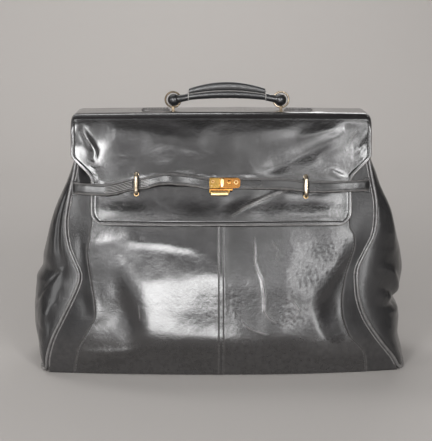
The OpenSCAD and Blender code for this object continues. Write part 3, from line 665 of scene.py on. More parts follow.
def baseSheet(name, material, slotName, node, inset, low, thickness, sag=0.0):
    # Sheet inside the foot of the walls: rows of x across, each as deep as the body there less the inset
    s, t = np.meshgrid(np.sin(np.linspace(-0.5, 0.5, 90) * math.pi), np.linspace(-1, 1, 50))
    foot = 0.0046
    x = s * (sideCurve("edge", s, foot) + 0.008 - inset)
    depth = (sideCurve("depth", s, foot) - inset) * (1 - np.abs(s)**9)**0.5
    y = t * np.maximum(depth, 0.03)
    z = low + sag * (1 - np.maximum(np.abs(s), np.abs(t))**2)
    outer, inner = stack(x, y, z + thickness), stack(x, y, z)
    put(sheetPiece(name, outer, inner, material, 0 * x), "bag", slotName, node)


baseSheet("bottomPanel", bodyLeather, "body_leather", "bottom_panel", 0.0033, 0.0, 0.0024)
baseSheet("bottomLining", suede, "suede_lining", "bottom_lining", 0.008, 0.0061, 0.0008, 0.0008)
lining = dict(out=-(body["wall"] + 0.0006), thick=0.0008, low=0.0075, high=0.351, margin=0.0106)
facing = dict(out=lining["out"] - 0.0011, thick=0.0012, low=body["height"] - 0.026, high=body["height"],
              margin=lining["margin"] + 0.008)
for part, style, material, slotName in (("Lining", lining, suede, "suede_lining"),
                                        ("Facing", facing, facingLeather, "facing_leather")):
    for label, pointAt in (("front", frontPoint), ("back", backPoint)):
        left, right = (curveX("edge", side, style["margin"]) for side in (-1, 1))
        bodySheet(label + part, left, right, pointAt, material, slotName, label + "_" + part.lower(),
                  style["out"], style["thick"], style["low"], style["high"], step=0.004)
gussetSheets("gussetLining", lining["out"], lining["thick"], lining["low"], lining["high"], 80, 60, suede,
             "suede_lining", "gusset_lining_")
print("base and linings made")


# Flap: one leather sheet over the top, down the front to the lower edge

flap = dict(
    topZ=0.3599, bendZ=0.3524, rollR=0.0075, frontY=-0.0401, rearY=0.037, cornerDrop=0.010, out=0.0041,
    thick=0.0026, lowX=0.1805, lowZ=0.21, cornerR=0.019, shoulderZ=0.305, neckZ=0.268, topHalf=0.209,
    splitY=0.012, bandWidth=0.005, arch=0.0018, rollOut=0.0018, shoulderDrop=0.0038, edgeR=0.013, edgeTurn=25,
    kick=0.0036, pressed=0.0006, liningIn=0.005, wearShare=0.9, frontWear=0.0011, rearWear=0.0007,
    waves=[(0.08, 0.0004, 5), (0.03, 0.00006, 6)], fineWaves=[(0.008, 0.00009, 12)],
    topWaves=[(0.09, 0.0003, 7)])
flapFolds = [(-1.7, 4.8, -194, 346, -188, 330, -181, 318, -175, 308, -178, 294),
    (0.8, 12, -150, 338, -110, 333, -60, 322, -10, 310), (0.5, 2, -182, 288, -172, 283),
    (0.5, 2, -180, 282, -170, 277), (0.9, 6, -172, 290, -168, 270, -166, 250),
    (-1.8, 11, 200, 354, 181, 341, 150, 324, 115, 306, 80, 290, 50, 278),
    (1.1, 8, 172, 340, 145, 334, 105, 324), (0.5, 3, 200, 330, 186, 310), (0.5, 3, 203, 318, 188, 300),
    (0.6, 3, 204, 300, 186, 289), (1, 4, 150, 283, 166, 275, 176, 272),
    (0.5, 2.2, 92, 262, 60, 247, 35, 236, 12, 222), (-0.6, 10, 50, 262, 20, 244, -5, 225)]
flapRubs = [(0.45, 1.3, 96, 258, 85, 254.5, 60, 246, 35, 236, 12, 222), (0.2, 1, 70, 252, 40, 243, 20, 232),
    (0.3, 1, 190, 338, 183, 330, 176, 318, 171, 308), (0.25, 1, -196, 338, -188, 327, -181, 315)]
flapDomes = [(-135, 227, 35, 11, 0, 0.9), (105, 226, 55, 11, 0, 0.8), (120, 287, 30, 12, -15, 1)]
flapCrinkles = [(110, 226, 60, 8, 0, 1), (-110, 222, 60, 6, 0, 0.6), (120, 292, 40, 14, 0, 0.8),
    (-165, 280, 15, 20, 0, 0.6), (195, 315, 15, 30, 0, 0.8)]
flapThick, lowZ, bendZ, topHalf = flap["thick"], flap["lowZ"], flap["bendZ"], flap["topHalf"]


def flapHalf(z):
    # Half width at height z: rounded lower corners, a neck that widens into the shoulders
    widening = smoothStep((z - flap["neckZ"]) / (flap["shoulderZ"] - flap["neckZ"]))
    return mix(flap["lowX"], topHalf, widening) - roundOff(lowZ + flap["cornerR"] - z, flap["cornerR"])


def strapMid(x):
    # Height of the straps' middle line
    left = smoothCurve([-203, 258, -155, 257.5, -123, 264, -105, 266, -79, 272.5, -50, 271, -17, 265.5,
                        5, 265], x)
    right = smoothCurve([5, 266, 87, 265, 110, 262.5, 123, 261, 204, 262.5], x)
    return np.where(x < 0.005, left, right)


def flapRelief(x, z):
    # Folds and waves away from the edges, pressed flat under the straps, with a rounded upper part, shoulders
    # that fall back and a lower edge that kicks out
    sideFade = smoothStep((flapHalf(z) - np.abs(x)) / 0.012)
    fade = sideFade * smoothStep((z - lowZ) / 0.012) * smoothStep((0.352 - z) / 0.014)
    underStrap = np.exp(-((z - strapMid(x)) / 0.010)**4)
    rollShape = (1 - np.clip((z - 0.328) / 0.0244, 0, 1)**2) * smoothStep((z - 0.282) / 0.046)
    shoulderShape = smoothStep((0.346 - z) / 0.034) * smoothStep((z - 0.272) / 0.046)
    roll = flap["rollOut"] * rollShape
    roll = roll - flap["shoulderDrop"] * shoulderShape * smoothStep((np.abs(x) - 0.15) / 0.06)
    kick = flap["kick"] * (1 - smoothStep((z - lowZ) / 0.045))
    fine = domeRelief(x, z, flapCrinkles, 1) * waveRelief(x * 1.7, z * 0.7, flap["fineWaves"])
    folds = foldRelief(x, z, flapFolds) + domeRelief(x, z, flapDomes) + waveRelief(x, z, flap["waves"]) + fine
    return fade * folds * (1 - underStrap) + roll + kick - flap["pressed"] * underStrap


def flapBand(distance):
    # The turned edge stands proud of the rest, with a stitched groove along its inner side
    past = distance - flap["bandWidth"]
    return 0.0005 * (1 - smoothStep((past + 0.0006) / 0.0012)) - 0.0004 * bell((past - 0.0003) / 0.0005)


def flapRows():
    # Places down the front from the bend to the lower edge
    corner = lowZ + flap["cornerR"] * (1 - np.cos(np.linspace(0, quarterTurn, 14)))
    band = lowZ + np.array([0.2, 0.5, 0.9, 1.4, 3.6, 4.3, 4.7, 5, 5.3, 5.7, 6.3]) / 1000
    above = np.arange(lowZ + flap["cornerR"] + 0.0018, bendZ - 0.001, 0.0018)
    return np.unique(np.round(join(corner, band, above, [bendZ]), 6))[::-1]


def flapShares():
    # Places across, as shares of the half width, closer at the turned edge and its groove
    near = np.array([0, 0.2, 0.5, 0.9, 1.6, 2.8, 4, 4.5, 4.8, 5.1, 5.4, 5.8, 6.6]) / 200
    middle = np.arange(0.041, 1.0, 0.0098)
    share = join(near, middle[middle < 0.995], [1.0])
    return join(share - 1, (1 - share)[::-1][1:])


def cornerDrop(x):
    # How far the sheet falls at its ends
    return roundOff(np.abs(x) - (topHalf - flap["cornerDrop"]), flap["cornerDrop"])


def flapFrontGrid(half):
    # Front of the flap with its face out from the body, half its thickness either way
    z, share = grid(flapRows(), flapShares())
    width = flapHalf(z)
    x = share * width
    slant = np.gradient(flapHalf(flapRows()), flapRows())[:, None]
    distance = np.minimum((width - np.abs(x)) / np.sqrt(1 + slant**2), z - lowZ)
    lift = flap["out"] + flapRelief(x, z) + flapBand(distance) - flapThick / 2
    lift = lift + half * wallHalf(distance, flapThick)
    drop = cornerDrop(x) * np.clip((z - 0.33) / (bendZ - 0.33), 0, 1)
    nearest = flap["frontY"] + 0.5 * (1 - half) * flapThick + 0.0006 * (1 - np.exp(-(bendZ - z) / 0.01))
    return stack(x, np.minimum(-(bodyDepth(x, z) + lift), nearest), z - drop), distance


def topArch(x):
    # The top sags a little towards both ends
    return flap["arch"] * (1 - (x / topHalf)**2) - 0.0008


def topLift(x, half):
    # Height of the outer face (half 1) or the inner one (-1) over the leather's surface, with its turned edge
    distance = topHalf - np.abs(x)
    return -flapThick / 2 + half * wallHalf(distance, flapThick) + flapBand(distance)


def flapRollGrid(turns, centreY, radius, sign, half):
    # Round at the front or the rear of the top, tangent to it
    turn, s = grid(turns, flapShares())
    x = s * topHalf
    r = radius + topLift(x, half)
    z = flap["topZ"] - radius + r * np.sin(turn) + topArch(x) * np.sin(turn)**2 - cornerDrop(x)
    return stack(x, centreY + sign * r * np.cos(turn), z)


def flapTopGrid(yRow, half):
    y, s = grid(yRow, flapShares())
    x = s * topHalf
    z = flap["topZ"] + topLift(x, half) + topArch(x) - cornerDrop(x) + waveRelief(x, y, flap["topWaves"])
    return stack(x, y, z)


edgeTurn = math.radians(flap["edgeTurn"])
frontCentre = flap["frontY"] + flap["edgeR"] * math.cos(edgeTurn)
rearCentre = flap["rearY"] - flap["rollR"]


def flapSheets(half):
    # Grids of the rear part and the front part, on one side of the leather
    rear = [flapRollGrid(np.linspace(0, quarterTurn, 14), rearCentre, flap["rollR"], 1, half),
            flapTopGrid(np.linspace(rearCentre - 0.001, flap["splitY"], 10), half)]
    front = [flapTopGrid(np.linspace(flap["splitY"], frontCentre + 0.001, 22), half),
             flapRollGrid(np.linspace(quarterTurn, edgeTurn, 14)[:-1], frontCentre, flap["edgeR"], -1, half),
             flapFrontGrid(half)[0]]
    return np.concatenate(rear), np.concatenate(front)


rearOuter, frontOuter = flapSheets(1)
rearInner, frontInner = flapSheets(-1)
frontDistance = flapFrontGrid(1)[1]
topRows = frontOuter.shape[0] - frontDistance.shape[0]
sideDistance = topHalf * (1 - np.abs(flapShares()))
topDistance = np.broadcast_to(sideDistance, (topRows, frontOuter.shape[1]))
rearDistance = np.broadcast_to(sideDistance, rearOuter.shape[:2])
rearWear = flap["wearShare"] * np.exp(-rearDistance / flap["rearWear"])
frontWear = flap["wearShare"] * np.exp(-join(topDistance, frontDistance) / flap["frontWear"])
x, z = frontOuter[..., 0], frontOuter[..., 2]
frontWear = frontWear + rubbed(x, z, flapRubs)
flapCrackle = np.clip(domeRelief(x, z, flapCrinkles, 1), 0, 1)
frontBend, frontFree = (0, flap["frontY"], bendZ), (0, flap["frontY"], bendZ - 0.024)
rearBend, rearFree = (0, flap["rearY"], bendZ), (0, rearCentre, flap["topZ"])
putBent(sheetPiece("flapRear", rearOuter, rearInner, flapLeather, rearWear), ("bag", "flap_top"),
        rearBend, rearFree, "flap_leather", "flap_top_panel")
putBent(sheetPiece("flapFront", frontOuter, frontInner, flapLeather, frontWear, flapCrackle),
        ("flap_top", "flap_front"), frontBend, frontFree, "flap_leather", "flap_front_panel")


def flapStitches():
    # Thread in the groove of the turned edge: down one side, along the lower edge and up the other
    inset, r = flap["bandWidth"] + 0.0003, flap["cornerR"]
    z = np.linspace(0.348, lowZ + r, 90)
    side = stack(flapHalf(z) - inset, z)
    turn = np.linspace(0, quarterTurn, 16)[1:]
    cornerX, cornerZ = flap["lowX"] - r, lowZ + r
    corner = stack(cornerX + (r - inset) * np.cos(turn), cornerZ - (r - inset) * np.sin(turn))
    right = join(side, corner)
    x, z = resample(join(right, (right * (-1, 1))[::-1]), 0.002).T
    y = -(bodyDepth(x, z) + flap["out"] + flapRelief(x, z) + flapBand(0 * x + inset) + 0.0001)
    return stack(x, y, z)


putBent(stitchRow("flapStitches", flapStitches(), (0.0, -1.0, 0.25), threadFinish),
        ("flap_top", "flap_front"), frontBend, frontFree, "flap_leather")


def flapLiningGrid(half):
    # Suede under the flap, inside its edge
    z, share = grid(np.linspace(bendZ, lowZ + 0.002, 60), np.linspace(-1, 1, 90))
    x = share * (flapHalf(z) - flap["liningIn"])
    lift = flap["out"] - flapThick - 0.0004 + flapRelief(x, z) + 0.0004 * (half - 1)
    y = np.minimum(-(bodyDepth(x, z) + lift), flap["frontY"] + flapThick + 0.0004)
    yTop, shareTop = grid(np.linspace(0.029, -0.034, 16), np.linspace(-1, 1, 90))
    xTop = shareTop * (topHalf - 0.012)
    top = stack(xTop, yTop, 0.3541 + 0.0004 * (half - 1))
    return join(top, stack(x, y, z))


putBent(sheetPiece("flapLining", flapLiningGrid(1), flapLiningGrid(-1), suede), ("flap_top", "flap_front"),
        frontBend, frontFree, "suede_lining", "flap_top_lining", "flap_front_lining")
print("flap made")


# Where things lie on the flap: a point, and the flap's own upward and outward directions there

def onFlap(x, z, rise=0.010):
    middle = np.array([x, -(bodyDepth(x, z) + flap["out"]), z])
    lean = math.atan((bodyDepth(x, z - rise) - bodyDepth(x, z + rise)) / (2 * rise))
    c, s = math.cos(lean), math.sin(lean)
    return middle, np.array([0, s, c]), np.array([0, -c, s])


def framed(points, placeAt):
    # Moves points given as (right, up, out) into the flap's frame at a place
    middle, up, out = placeAt
    return middle + points[..., :1] * np.array([1.0, 0, 0]) + points[..., 1:2] * up + points[..., 2:] * out


def shifted(placeAt, right, up):
    return placeAt[0] + np.array([right, 0, 0]) + placeAt[1] * up, placeAt[1], placeAt[2]


# Straps: flat belts with rounded edges and a pressed line along both sides

strap = dict(
    width=0.0155, thick=0.0032, staple=0.117, tuck=0.207, step=0.0018, grooveIn=0.0026, fall=0.006,
    # Where the straps bow away from the flap: a height, a middle and a width
    bows=[(0.0075, -0.066, 0.026), (0.003, -0.155, 0.018), (0.0012, 0.07, 0.03), (0.002, 0.155, 0.02)],
    # Pitch, length and thickness of the groove's threads and of the pale ones
    thread=(0.0032, 0.0021, 0.0006), sewn=(0.0026, 0.0015, 0.0007), sewnRow=0.0021)


def strapOut(x):
    # Distance of the strap's back from the body: it bows away over the flap and falls to the slots past it
    far = np.abs(x)
    base = mix(flap["out"] + 0.0003, 0.0018, smoothStep((far - 0.183) / 0.02))
    bow = sum(height * bell((x - middle) / width) for height, middle, width in strap["bows"])
    return base + bow - strap["fall"] * smoothStep((far - 0.199) / 0.008)


def strapFrames(x):
    # Middle line of the strap, and its across and outward directions
    low, high = (stack(x, -(bodyDepth(x, z) + strapOut(x)), z)
                 for z in (strapMid(x) - strap["width"] / 2, strapMid(x) + strap["width"] / 2))
    middle, across = (low + high) / 2, unit(high - low)
    out = unit(np.cross(across, unit(np.gradient(middle, axis=0))))
    return middle, across, np.where(out[:, 1:2] > 0, -out, out)


def strapProfile():
    # Half-round edges and a groove inside both, as (across, out) pairs round the section
    w, r = strap["width"] / 2, strap["thick"] / 2
    turn = np.linspace(-quarterTurn, quarterTurn, 9)
    edge = stack(w - r + r * np.cos(turn), r + r * np.sin(turn))
    across = np.linspace(w - r - 0.0004, -(w - r - 0.0004), 25)
    groove = -0.0004 * bell((np.abs(across) - w + strap["grooveIn"]) / 0.0004)
    face = stack(across, 2 * r + groove + 0.00035 * (1 - (across / w)**2))
    return join(edge, face, (edge * (-1, 1))[::-1])


def strapPiece(name, start, stop):
    x = np.linspace(start, stop, math.ceil(abs(stop - start) / strap["step"]) + 1)
    middle, across, out = strapFrames(x)
    profile = strapProfile()
    swell = 1 + 0.02 * np.cos(x * 310)
    rings = (middle[:, None] + across[:, None] * profile[None, :, :1] * swell[:, None, None]
             + out[:, None] * profile[None, :, 1:])
    wear = 0.9 * np.exp(-(strap["width"] / 2 - np.abs(profile[:, 0])) / 0.0011)
    return ringPiece(name, rings, strapLeather, wear, sharp=60)


def strapThread(name, start, stop):
    middle, across, out = strapFrames(np.linspace(start, stop, 90))
    groove = strap["width"] / 2 - strap["grooveIn"]
    for mark, shift in (("Top", groove), ("Low", -groove)):
        line = middle + across * shift + out * (strap["thick"] + 0.00005)
        yield stitchRow(name + mark, line, out, threadFinish, *strap["thread"])


def sewnRows(name, start, stop):
    # Short pale threads sewn close together in five rows, every other row shifted by half a thread
    middle, across, out = strapFrames(np.linspace(start, stop, 60))
    for row in range(5):
        line = middle + across * (row - 2) * strap["sewnRow"] + out * (strap["thick"] + 0.0004)
        first = row % 2 * 2
        yield stitchRow(name + str(row), line[first:], out[first:], paleThread, *strap["sewn"])


put(strapPiece("strapLeft", -0.1168, -0.0156), "flap_front", "strap_leather", "strap_left")
put(strapPiece("strapRight", 0.0047, 0.1168), "flap_front", "strap_leather", "strap_right")
for thread in [*strapThread("strapThreadLeft", -0.112, -0.02), *strapThread("strapThreadRight", 0.03, 0.112),
               *sewnRows("sewnStrap", -0.110, -0.100)]:
    put(thread, "flap_front", "strap_leather")
slotPatch = dict(inner=0.1985, width=0.0085, height=0.0205, thick=0.0012)
for side, label in sides:
    tail = label.lower() + "_tail"
    x, y, z = next(joint["pos_m"] for joint in frame["joints"] if joint["child"] == tail)
    pieces = [strapPiece("strapTail" + label, side * 0.1166, side * strap["tuck"])]
    pieces += strapThread("tailThread" + label, side * 0.122, side * 0.2)
    pieces += sewnRows("sewnTail", -0.160, -0.123) if side < 0 else []
    for piece in pieces:
        nodes = ["strap_tail_" + label.lower()] if piece is pieces[0] else []
        putBent(piece, ("flap_front", tail), (x - side * 0.003, y, z), (x + side * 0.010, y, z),
                "strap_leather", *nodes)
for side, label in sides:
    low = float(strapMid(side * 0.203)) - slotPatch["height"] / 2
    left, right = sorted((side * slotPatch["inner"], side * (slotPatch["inner"] + slotPatch["width"])))
    bodySheet("strapSlot" + label, levelX(left), levelX(right), frontPoint, sideLeather, "side_leather",
              "strap_slot_" + label.lower(), out=0.0014, thickness=slotPatch["thick"], low=low,
              high=low + slotPatch["height"], step=0.001)
print("straps made")


# Staples: brass loops that the straps pass through, with an eyelet round each leg

staple = dict(reach=0.0135, out=0.0077, radius=0.0024, corner=0.0045, widen=1.3)
eyelet = dict(radius=0.0027, wire=0.0009, lift=0.0005, squash=0.7)


def staplePath():
    # Out of the flap, up the outside and back in, with rounded corners, as (right, up, out)
    r, reach, out = staple["corner"], staple["reach"], staple["out"]
    leg = np.linspace(-0.001, out - r, 6)
    turn = np.linspace(0, quarterTurn, 10)
    rise = np.linspace(-(reach - r), reach - r, 16)
    low = stack(0, -reach, leg)
    bend = stack(0, -reach + r * (1 - np.cos(turn)), out - r + r * np.sin(turn))
    bar = stack(0, rise, out)
    return join(low, bend[1:], bar[1:-1], (bend * (1, -1, 1))[::-1], (low * (1, -1, 1))[::-1][1:])


def flatRing(name, placeAt, radius, wire, lift, squash, material):
    # Ring lying on the flap: a circle of round section, flattened by squash
    turn, section = grid(around(32), around(12))
    reach, rise = radius + wire * np.cos(section), lift + wire * squash * np.sin(section)
    points = framed(stack(reach * np.cos(turn), reach * np.sin(turn), rise), placeAt)
    return addPiece(name, points, gridQuads(33, 12, wrap=True) % turn.size, material)


for side, label in sides:
    x = side * strap["staple"]
    placeAt = onFlap(x, float(strapMid(x)))
    path = staplePath()
    thick = staple["radius"] * (0.85 + 0.3 * bell(path[:, 1] / 0.009))
    rings = tubeRings(path, thick, 14, up=(1.0, 0, 0)) * (staple["widen"], 1, 1)
    put(ringPiece("staple" + label, framed(rings, placeAt), wornBrass), "flap_front", "worn_brass",
        "staple_" + label.lower())
    for mark, shift, finish, nodes in (("Top", 1, wornBrass, ["staple_eyelets_" + label.lower()]),
                                       ("Low", -1, rubbedGilt, [])):
        middle = shifted(placeAt, 0, shift * staple["reach"])
        ring = flatRing("eyelet" + label + mark, middle, material=finish, **eyelet)
        put(ring, "flap_front", "worn_brass", *nodes)
print("staples made")


# Clasp: plates with rounded edges, given as outlines in (right, up) about the clasp's middle

clasp = dict(x=0.005, z=0.266, plateOut=0.0038, plateThick=0.0016, high=0.0145, wide=0.0425, split=-0.0067,
             post=-0.00375, ledgeHigh=0.0036, tabHigh=0.0056)
claspAt = onFlap(clasp["x"], clasp["z"])


def roundedBox(left, right, low, high, radii):
    # Outline of a box with a radius for each corner: lower right, upper right, upper left, lower left
    corners = [(right, low, 1, -1), (right, high, 1, 1), (left, high, -1, 1), (left, low, -1, -1)]
    points = []
    for k, ((x, z, sx, sz), r) in enumerate(zip(corners, np.broadcast_to(radii, 4))):
        turn = np.linspace(k * quarterTurn - quarterTurn, k * quarterTurn, 7)
        points.append(stack(x - sx * r + r * np.cos(turn), z - sz * r + r * np.sin(turn)))
    return np.concatenate(points)


def insetOutline(outline, d):
    # Moves each point of an outline inwards by d along the mean of its neighbours' normals
    along = unit(np.roll(outline, -1, axis=0) - np.roll(outline, 1, axis=0))
    return outline + d * stack(-along[:, 1], along[:, 0])


def plate(name, box, radii, out, thick, bevel, material, body, slotName, *nodes, dish=0.0):
    # Plate with a rounded rim, and where it has a dish a sunk field inside it
    outline = roundedBox(*box, radii)
    top = out + thick
    turn = np.linspace(0, quarterTurn, 5)
    rings = [(0.0, out)] + [(bevel * (1 - math.cos(t)), top - bevel * (1 - math.sin(t))) for t in turn]
    if dish:
        rings += [(0.0011, top), (0.0014, top - dish)]
    points = [np.pad(insetOutline(outline, d), ((0, 0), (0, 1)), constant_values=h) for d, h in rings]
    put(ringPiece(name, framed(np.array(points), claspAt), material, sharp=35), body, slotName, *nodes)


def domePiece(name, x, z, radius, height, material):
    # Rivet head: a low dome
    turn = np.linspace(0, quarterTurn, 8)[:-1, None]
    reach, circle = radius * np.cos(turn), around(24)
    rise = plateTop - 0.0002 + height * np.sin(turn)
    rings = stack(x + reach * np.cos(circle), z + reach * np.sin(circle), rise)
    return ringPiece(name, framed(rings, claspAt), material)


high, left, right = clasp["high"] / 2, -clasp["wide"] / 2, clasp["wide"] / 2
plateOut, split, post = clasp["plateOut"], clasp["split"], clasp["post"]
plateTop = plateOut + clasp["plateThick"]
ledgeTop = -high - 0.0003
tabTop = ledgeTop - clasp["ledgeHigh"] - 0.0005
plate("claspPlateLeft", (left, split - 0.0003, -high, high), (0.0006, 0.0006, 0.0014, 0.0014), plateOut,
      clasp["plateThick"], 0.0005, giltBrass, "flap_front", "gilt_clasp", "clasp_plate_left", dish=0.0003)
plate("claspPlateRight", (split, right, -high, high), (0.0045, 0.0045, 0.0006, 0.0006), plateOut,
      clasp["plateThick"], 0.0005, copperBrass, "flap_front", "copper_clasp", "clasp_plate_right",
      dish=0.0003)
for name, x, z, radius, wire in (("claspEyeRight", 0.0155, 0.0008, 0.0024, 0.0007),
                                 ("claspEyeLeft", -0.0165, 0.0018, 0.0018, 0.0006)):
    ring = flatRing(name, shifted(claspAt, x, z), radius, wire, plateTop, 0.8, rubbedGilt)
    put(ring, "flap_front", "gilt_clasp")
for mark, x, z, radius, height, finish in (("A", -0.0165, 0.0018, 0.0013, 0.0008, copperBrass),
                                           ("B", -0.0183, -0.0044, 0.0015, 0.0009, rubbedGilt),
                                           ("C", 0.0155, 0.0008, 0.0017, 0.0008, copperBrass),
                                           ("D", 0.006, 0.0006, 0.0032, 0.0006, copperBrass)):
    rivet = domePiece("claspRivet" + mark, x, z, radius, height, finish)
    put(rivet, "flap_front", "gilt_clasp", *(["clasp_rivets"] if mark == "A" else []))
plate("claspTurnBar", (post - 0.0023, post + 0.0023, -0.0066, 0.0066), 0.0022, plateTop + 0.0007, 0.0026,
      0.0011, rubbedGilt, "turn_bar", "gilt_clasp", "clasp_turn_bar")
plate("claspLedge", (left, 0.011, ledgeTop - clasp["ledgeHigh"], ledgeTop), (0.0022, 0.0006, 0.0006, 0.0012),
      plateOut, 0.0022, 0.0008, copperBrass, "flap_front", "copper_clasp", "clasp_ledge")
plate("claspTab", (left + 0.0019, left + 0.0259, tabTop - clasp["tabHigh"], tabTop), 0.0012,
      plateOut + 0.0004, 0.0019, 0.0008, rubbedGilt, "clasp_tab", "gilt_clasp", "clasp_tab")
for x, mark in ((left, "A"), (left + 0.0262, "B")):
    plate("claspEar" + mark, (x, x + 0.0016, tabTop - 0.0028, ledgeTop - 0.001), 0.0005, plateOut, 0.0024,
          0.0005, giltBrass, "flap_front", "copper_clasp")
print("clasp made")


# Handle: a stitched leather roll with a crest along its top, held by two rings

handle = dict(x=0.0085, half=0.0765, ringZ=0.375, arch=0.008, grip=0.0062, neck=0.0046, rollHalf=0.0592,
              crestHalf=0.054, crestHigh=0.0105, crestThick=0.0036, crestFall=0.42, paleLineRadius=0.0009,
              thread=(0.0032, 0.0022, 0.0007),
              endStop=0.0705, endRadius=0.0049, ballX=0.0755, ballRadius=0.0086)
ringTab = dict(length=0.045, half=0.0085, start=0.0048, top=0.3599, thick=0.0022, stitchIn=0.002)


def archZ(x):
    return handle["ringZ"] + handle["arch"] * (1 - (x / handle["half"])**2)


def rollRadius(x):
    return mix(handle["grip"], handle["neck"], np.clip((x / handle["rollHalf"])**2, 0, 1))


def atHandle(x, y, z):
    return stack(handle["x"] + x, y, z)


def onHandle(piece, *nodes):
    put(piece, "handle", "handle_leather", *nodes)


x = np.linspace(-handle["rollHalf"], handle["rollHalf"], 110)
ripple = 1 + 0.02 * np.cos(x * 700) * bell(x / 0.04) + 0.012 * np.cos(x * 260 + 1)
rings = tubeRings(atHandle(x, 0, archZ(x)), rollRadius(x) * ripple, 28)
onHandle(ringPiece("handleRoll", rings, handleLeather, 0), "handle_roll")

x = np.linspace(-handle["crestHalf"], handle["crestHalf"], 90)
turn = around(24)
crestHigh = handle["crestHigh"] * (1 - handle["crestFall"] * (x / handle["crestHalf"])**2) + 0.0018
crestMid = archZ(x) + rollRadius(x) * 0.72 + crestHigh / 2
across = handle["crestThick"] * np.sign(np.cos(turn)) * np.abs(np.cos(turn))**0.8
upward = np.sign(np.sin(turn)) * np.abs(np.sin(turn))**0.9
crest = atHandle(x[:, None], across * (1 + 0.02 * np.cos(x * 500))[:, None],
                 crestMid[:, None] + crestHigh[:, None] / 2 * upward)
# The wear share given to the crest is a painted highlight: a thin paler line along both its faces, a little
# above their middle
onHandle(ringPiece("handleCrest", crest, handleLeather, 0.12 * bell((upward - 0.2) / 0.1)), "handle_crest")
for mark, sideY in (("Front", -1.0), ("Back", 1.0)):
    # A pale line where the roll meets the crest
    welt = atHandle(x, sideY * rollRadius(x) * 0.68, archZ(x) + rollRadius(x) * 0.76)
    onHandle(ringPiece("handlePaleLine" + mark, tubeRings(welt, handle["paleLineRadius"], 8), paleLineLeather))
    line = atHandle(x, sideY * (handle["crestThick"] + 0.0001), archZ(x) + rollRadius(x) * 0.98 + 0.0014)
    onHandle(stitchRow("crestStitches" + mark, line, (0.0, sideY, 0.2), threadFinish, *handle["thread"]))

for side, label in sides:
    x = side * (handle["crestHalf"] + np.array([0, 0.0002, 0.0007, 0.0012, 0.0014]))[:, None]
    turn = around(32)
    radius = rollRadius(x) + 0.0007 + 0.0003 * np.array([-1.5, 0.3, 1, 0.3, -1.5])[:, None]
    crown = 1 + 0.55 * np.maximum(np.sin(turn), 0)**3
    band = atHandle(x, radius * np.cos(turn), archZ(x) + radius * np.sin(turn) * crown)
    put(ringPiece("handleBinding" + label, band, bindingLeather, 0.3), "handle", "handle_binding",
        "handle_binding_" + label.lower())

    # The end narrows past the roll, swells into a ball and closes round the ring
    ball = np.linspace(-0.6, 1.5, 22)
    x = join(np.linspace(handle["rollHalf"] - 0.003, handle["endStop"], 14),
             handle["ballX"] + handle["ballRadius"] * np.sin(ball))
    radius = join(handle["endRadius"] + 0.0012 * np.linspace(0, 1, 14)**2,
                  handle["ballRadius"] * np.cos(ball))
    rings = tubeRings(atHandle(side * x, 0, archZ(x) - 0.0006), smoothPath(radius, 3), 28)
    onHandle(ringPiece("handleEnd" + label, rings, handleLeather, 0), "handle_end_" + label.lower())

    # Ring tab: a leather strip on the flap's top, rounded at its far end
    ringX = handle["x"] + side * handle["half"]
    length, wide = ringTab["length"], ringTab["half"]
    bend = np.linspace(0.05, quarterTurn * 0.98, 12)
    far = length - wide
    s = join(np.linspace(ringTab["start"], far, 20), far + wide * np.sin(bend))
    half = join(np.full(20, wide), wide * np.cos(bend))[:, None]
    s, t = grid(s, np.linspace(-1, 1, 17))
    x = ringX + side * s
    base = ringTab["top"] + topArch(x) - 0.0003
    rim = np.minimum(half * (1 - np.abs(t)), np.minimum(length - s, s))
    thick = ringTab["thick"] * np.sqrt(np.clip(1 - (1 - np.clip(rim / 0.0012, 0, 1))**2, 0.05, 1))
    outer, inner = (stack(x, t * half, z) for z in (base + thick, base))
    tab = sheetPiece("ringTab" + label, outer, inner, flapLeather, 0.8 * np.exp(-rim / 0.0008))
    put(tab, "flap_top", "flap_leather", "ring_tab_" + label.lower())
    bend, inner = np.linspace(0.2, math.pi - 0.2, 14), wide - ringTab["stitchIn"]
    along = join([0.0065, far], far + inner * np.sin(bend), [far, 0.0065])
    x, y = ringX + side * along, join([inner] * 2, inner * np.cos(bend), [-inner] * 2)
    line = stack(x, y, ringTab["top"] + topArch(x) + 0.0021)
    put(stitchRow("tabStitches" + label, line, (0.0, 0.0, 1.0), threadFinish), "flap_top", "flap_leather")
print("handle made")

keptFinishes = {
    fibreBoard: ("bottom_board", "flap_top_board"), wornBrass: ("handle_ring_right",),
    agedBrass: ("ring_eye_left", "ring_eye_right", "handle_ring_left"),
    giltBrass: ("clasp_post", "clasp_tab_pin")}
for finish, nodes in keptFinishes.items():
    for node in nodes:
        frame["nodes"][node].data.materials.clear()
        frame["nodes"][node].data.materials.append(finish)


# Floor and backdrop: one pale sheet that curves up behind and far in front

paper = dict(nearY=-7, farY=2.8, bend=1.2, high=5, half=7, tone=(0.42, 0.398, 0.381), roughness=0.9)


def backdrop():
    # Upright, a quarter round, flat past the bag, a quarter round and upright again
    turn = np.linspace(0, quarterTurn, 24)
    near, far = (stack(y + reach * (np.sin(turn) - 1), paper["bend"] * (1 - np.cos(turn)))
                 for y, reach in ((paper["nearY"], -paper["bend"]), (paper["farY"], paper["bend"])))
    profile = join([(paper["nearY"], paper["high"])], near[::-1], far, [(paper["farY"], paper["high"])])
    points = stack(np.linspace(-paper["half"], paper["half"], 3), profile[:, :1], profile[:, 1:])
    mesh = bpy.data.meshes.new("backdrop")
    mesh.from_pydata(points.reshape(-1, 3).tolist(), [], gridQuads(len(profile), 3)[:, ::-1].tolist())
    mesh.polygons.foreach_set("use_smooth", np.ones(len(mesh.polygons), bool))
    mesh.materials.append(newMaterial("paperFinish", lambda tree: {
        "Base Color": shade(paper["tone"]), "Roughness": paper["roughness"]}))
    addObject("backdrop", mesh)


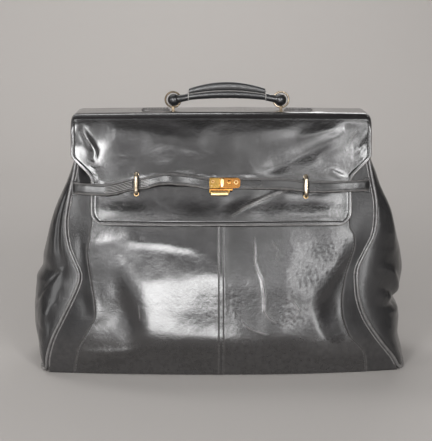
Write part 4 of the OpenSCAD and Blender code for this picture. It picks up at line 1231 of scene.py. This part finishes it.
def softbox(name, at, aim, width, height, brightness, feather=(0, 0)):
    # Rectangle that faces aim; its power follows from its size and how bright it looks. Five rectangles,
    # each a little behind and wider than the last, make its edge fade over the feather's width
    direction = np.subtract(aim, at)
    shares = np.linspace(-1, 1, 5) if any(feather) else [0.0]
    for k, share in enumerate(shares):
        data = bpy.data.lights.new(name + str(k), "AREA")
        data.shape = "RECTANGLE"
        data.size, data.size_y = width + share * feather[0], height + share * feather[1]
        data.energy = brightness / len(shares) * math.pi * data.size * data.size_y
        light = addObject(name + str(k), data)
        light.location = at - direction * 0.004 * k
        light.rotation_euler = (math.acos(-direction[2] / np.linalg.norm(direction)), 0,
                                math.atan2(direction[1], direction[0]) - quarterTurn)


backdrop()
softbox("keyBox", (-0.27, -2.5, 0.4), (0, 0, 0.15), 0.64, 0.56, 16.8, (0.28, 0.14))
softbox("keyWing", (-0.95, -2.4, 0.45), (0, 0, 0.15), 0.6, 0.7, 1.5, (0.3, 0.3))
softbox("rightBox", (0.33, -2.5, 0.66), (0, 0, 0.15), 0.56, 1.05, 0.75, (0.16, 0.2))
softbox("rightStrip", (0.74, -2.45, 0.5), (0, 0, 0.15), 0.24, 0.9, 9, (0.12, 0.12))
softbox("highBox", (-0.2, -2.5, 1.43), (0, 0, 0.2), 2.4, 0.6, 0.9, (0.3, 0.2))
softbox("highSpot", (0.56, -2.4, 1.5), (0, 0, 0.2), 0.5, 0.26, 8, (0.42, 0.2))
softbox("highLeft", (-1.08, -2.25, 1.2), (0, 0, 0.2), 0.46, 0.74, 26, (0.2, 0.26))
softbox("highRight", (1.15, -2.25, 1.25), (0, 0, 0.2), 0.46, 0.7, 22, (0.2, 0.26))
softbox("leftBox", (-2.0, -1.2, 0.7), (0, 0, 0.15), 0.8, 1.2, 3)
softbox("topBox", (-0.9, 0.5, 2.4), (-0.1, 0.4, 0), 2.2, 2.2, 0.4)
softbox("wallBox", (-1.1, 1.2, 3.2), (-0.6, 2.8, 1.6), 2.6, 0.8, 9)
softbox("frontWallBox", (0.6, -4.2, 3.4), (0.3, -7.0, 1.2), 4.0, 1.0, 4)
softbox("backBox", (0.5, 2.3, 1.8), (0, 0, 0.2), 1.0, 0.5, 8, (0.3, 0.2))
world = bpy.data.worlds.new("room")
world.use_nodes = True
world.node_tree.nodes["Background"].inputs["Color"].default_value = (0.86, 0.84, 0.82, 1)
world.node_tree.nodes["Background"].inputs["Strength"].default_value = 0.11
bpy.context.scene.world = world
bpy.context.scene.view_settings.view_transform = "Standard"
print("floor and lights made")
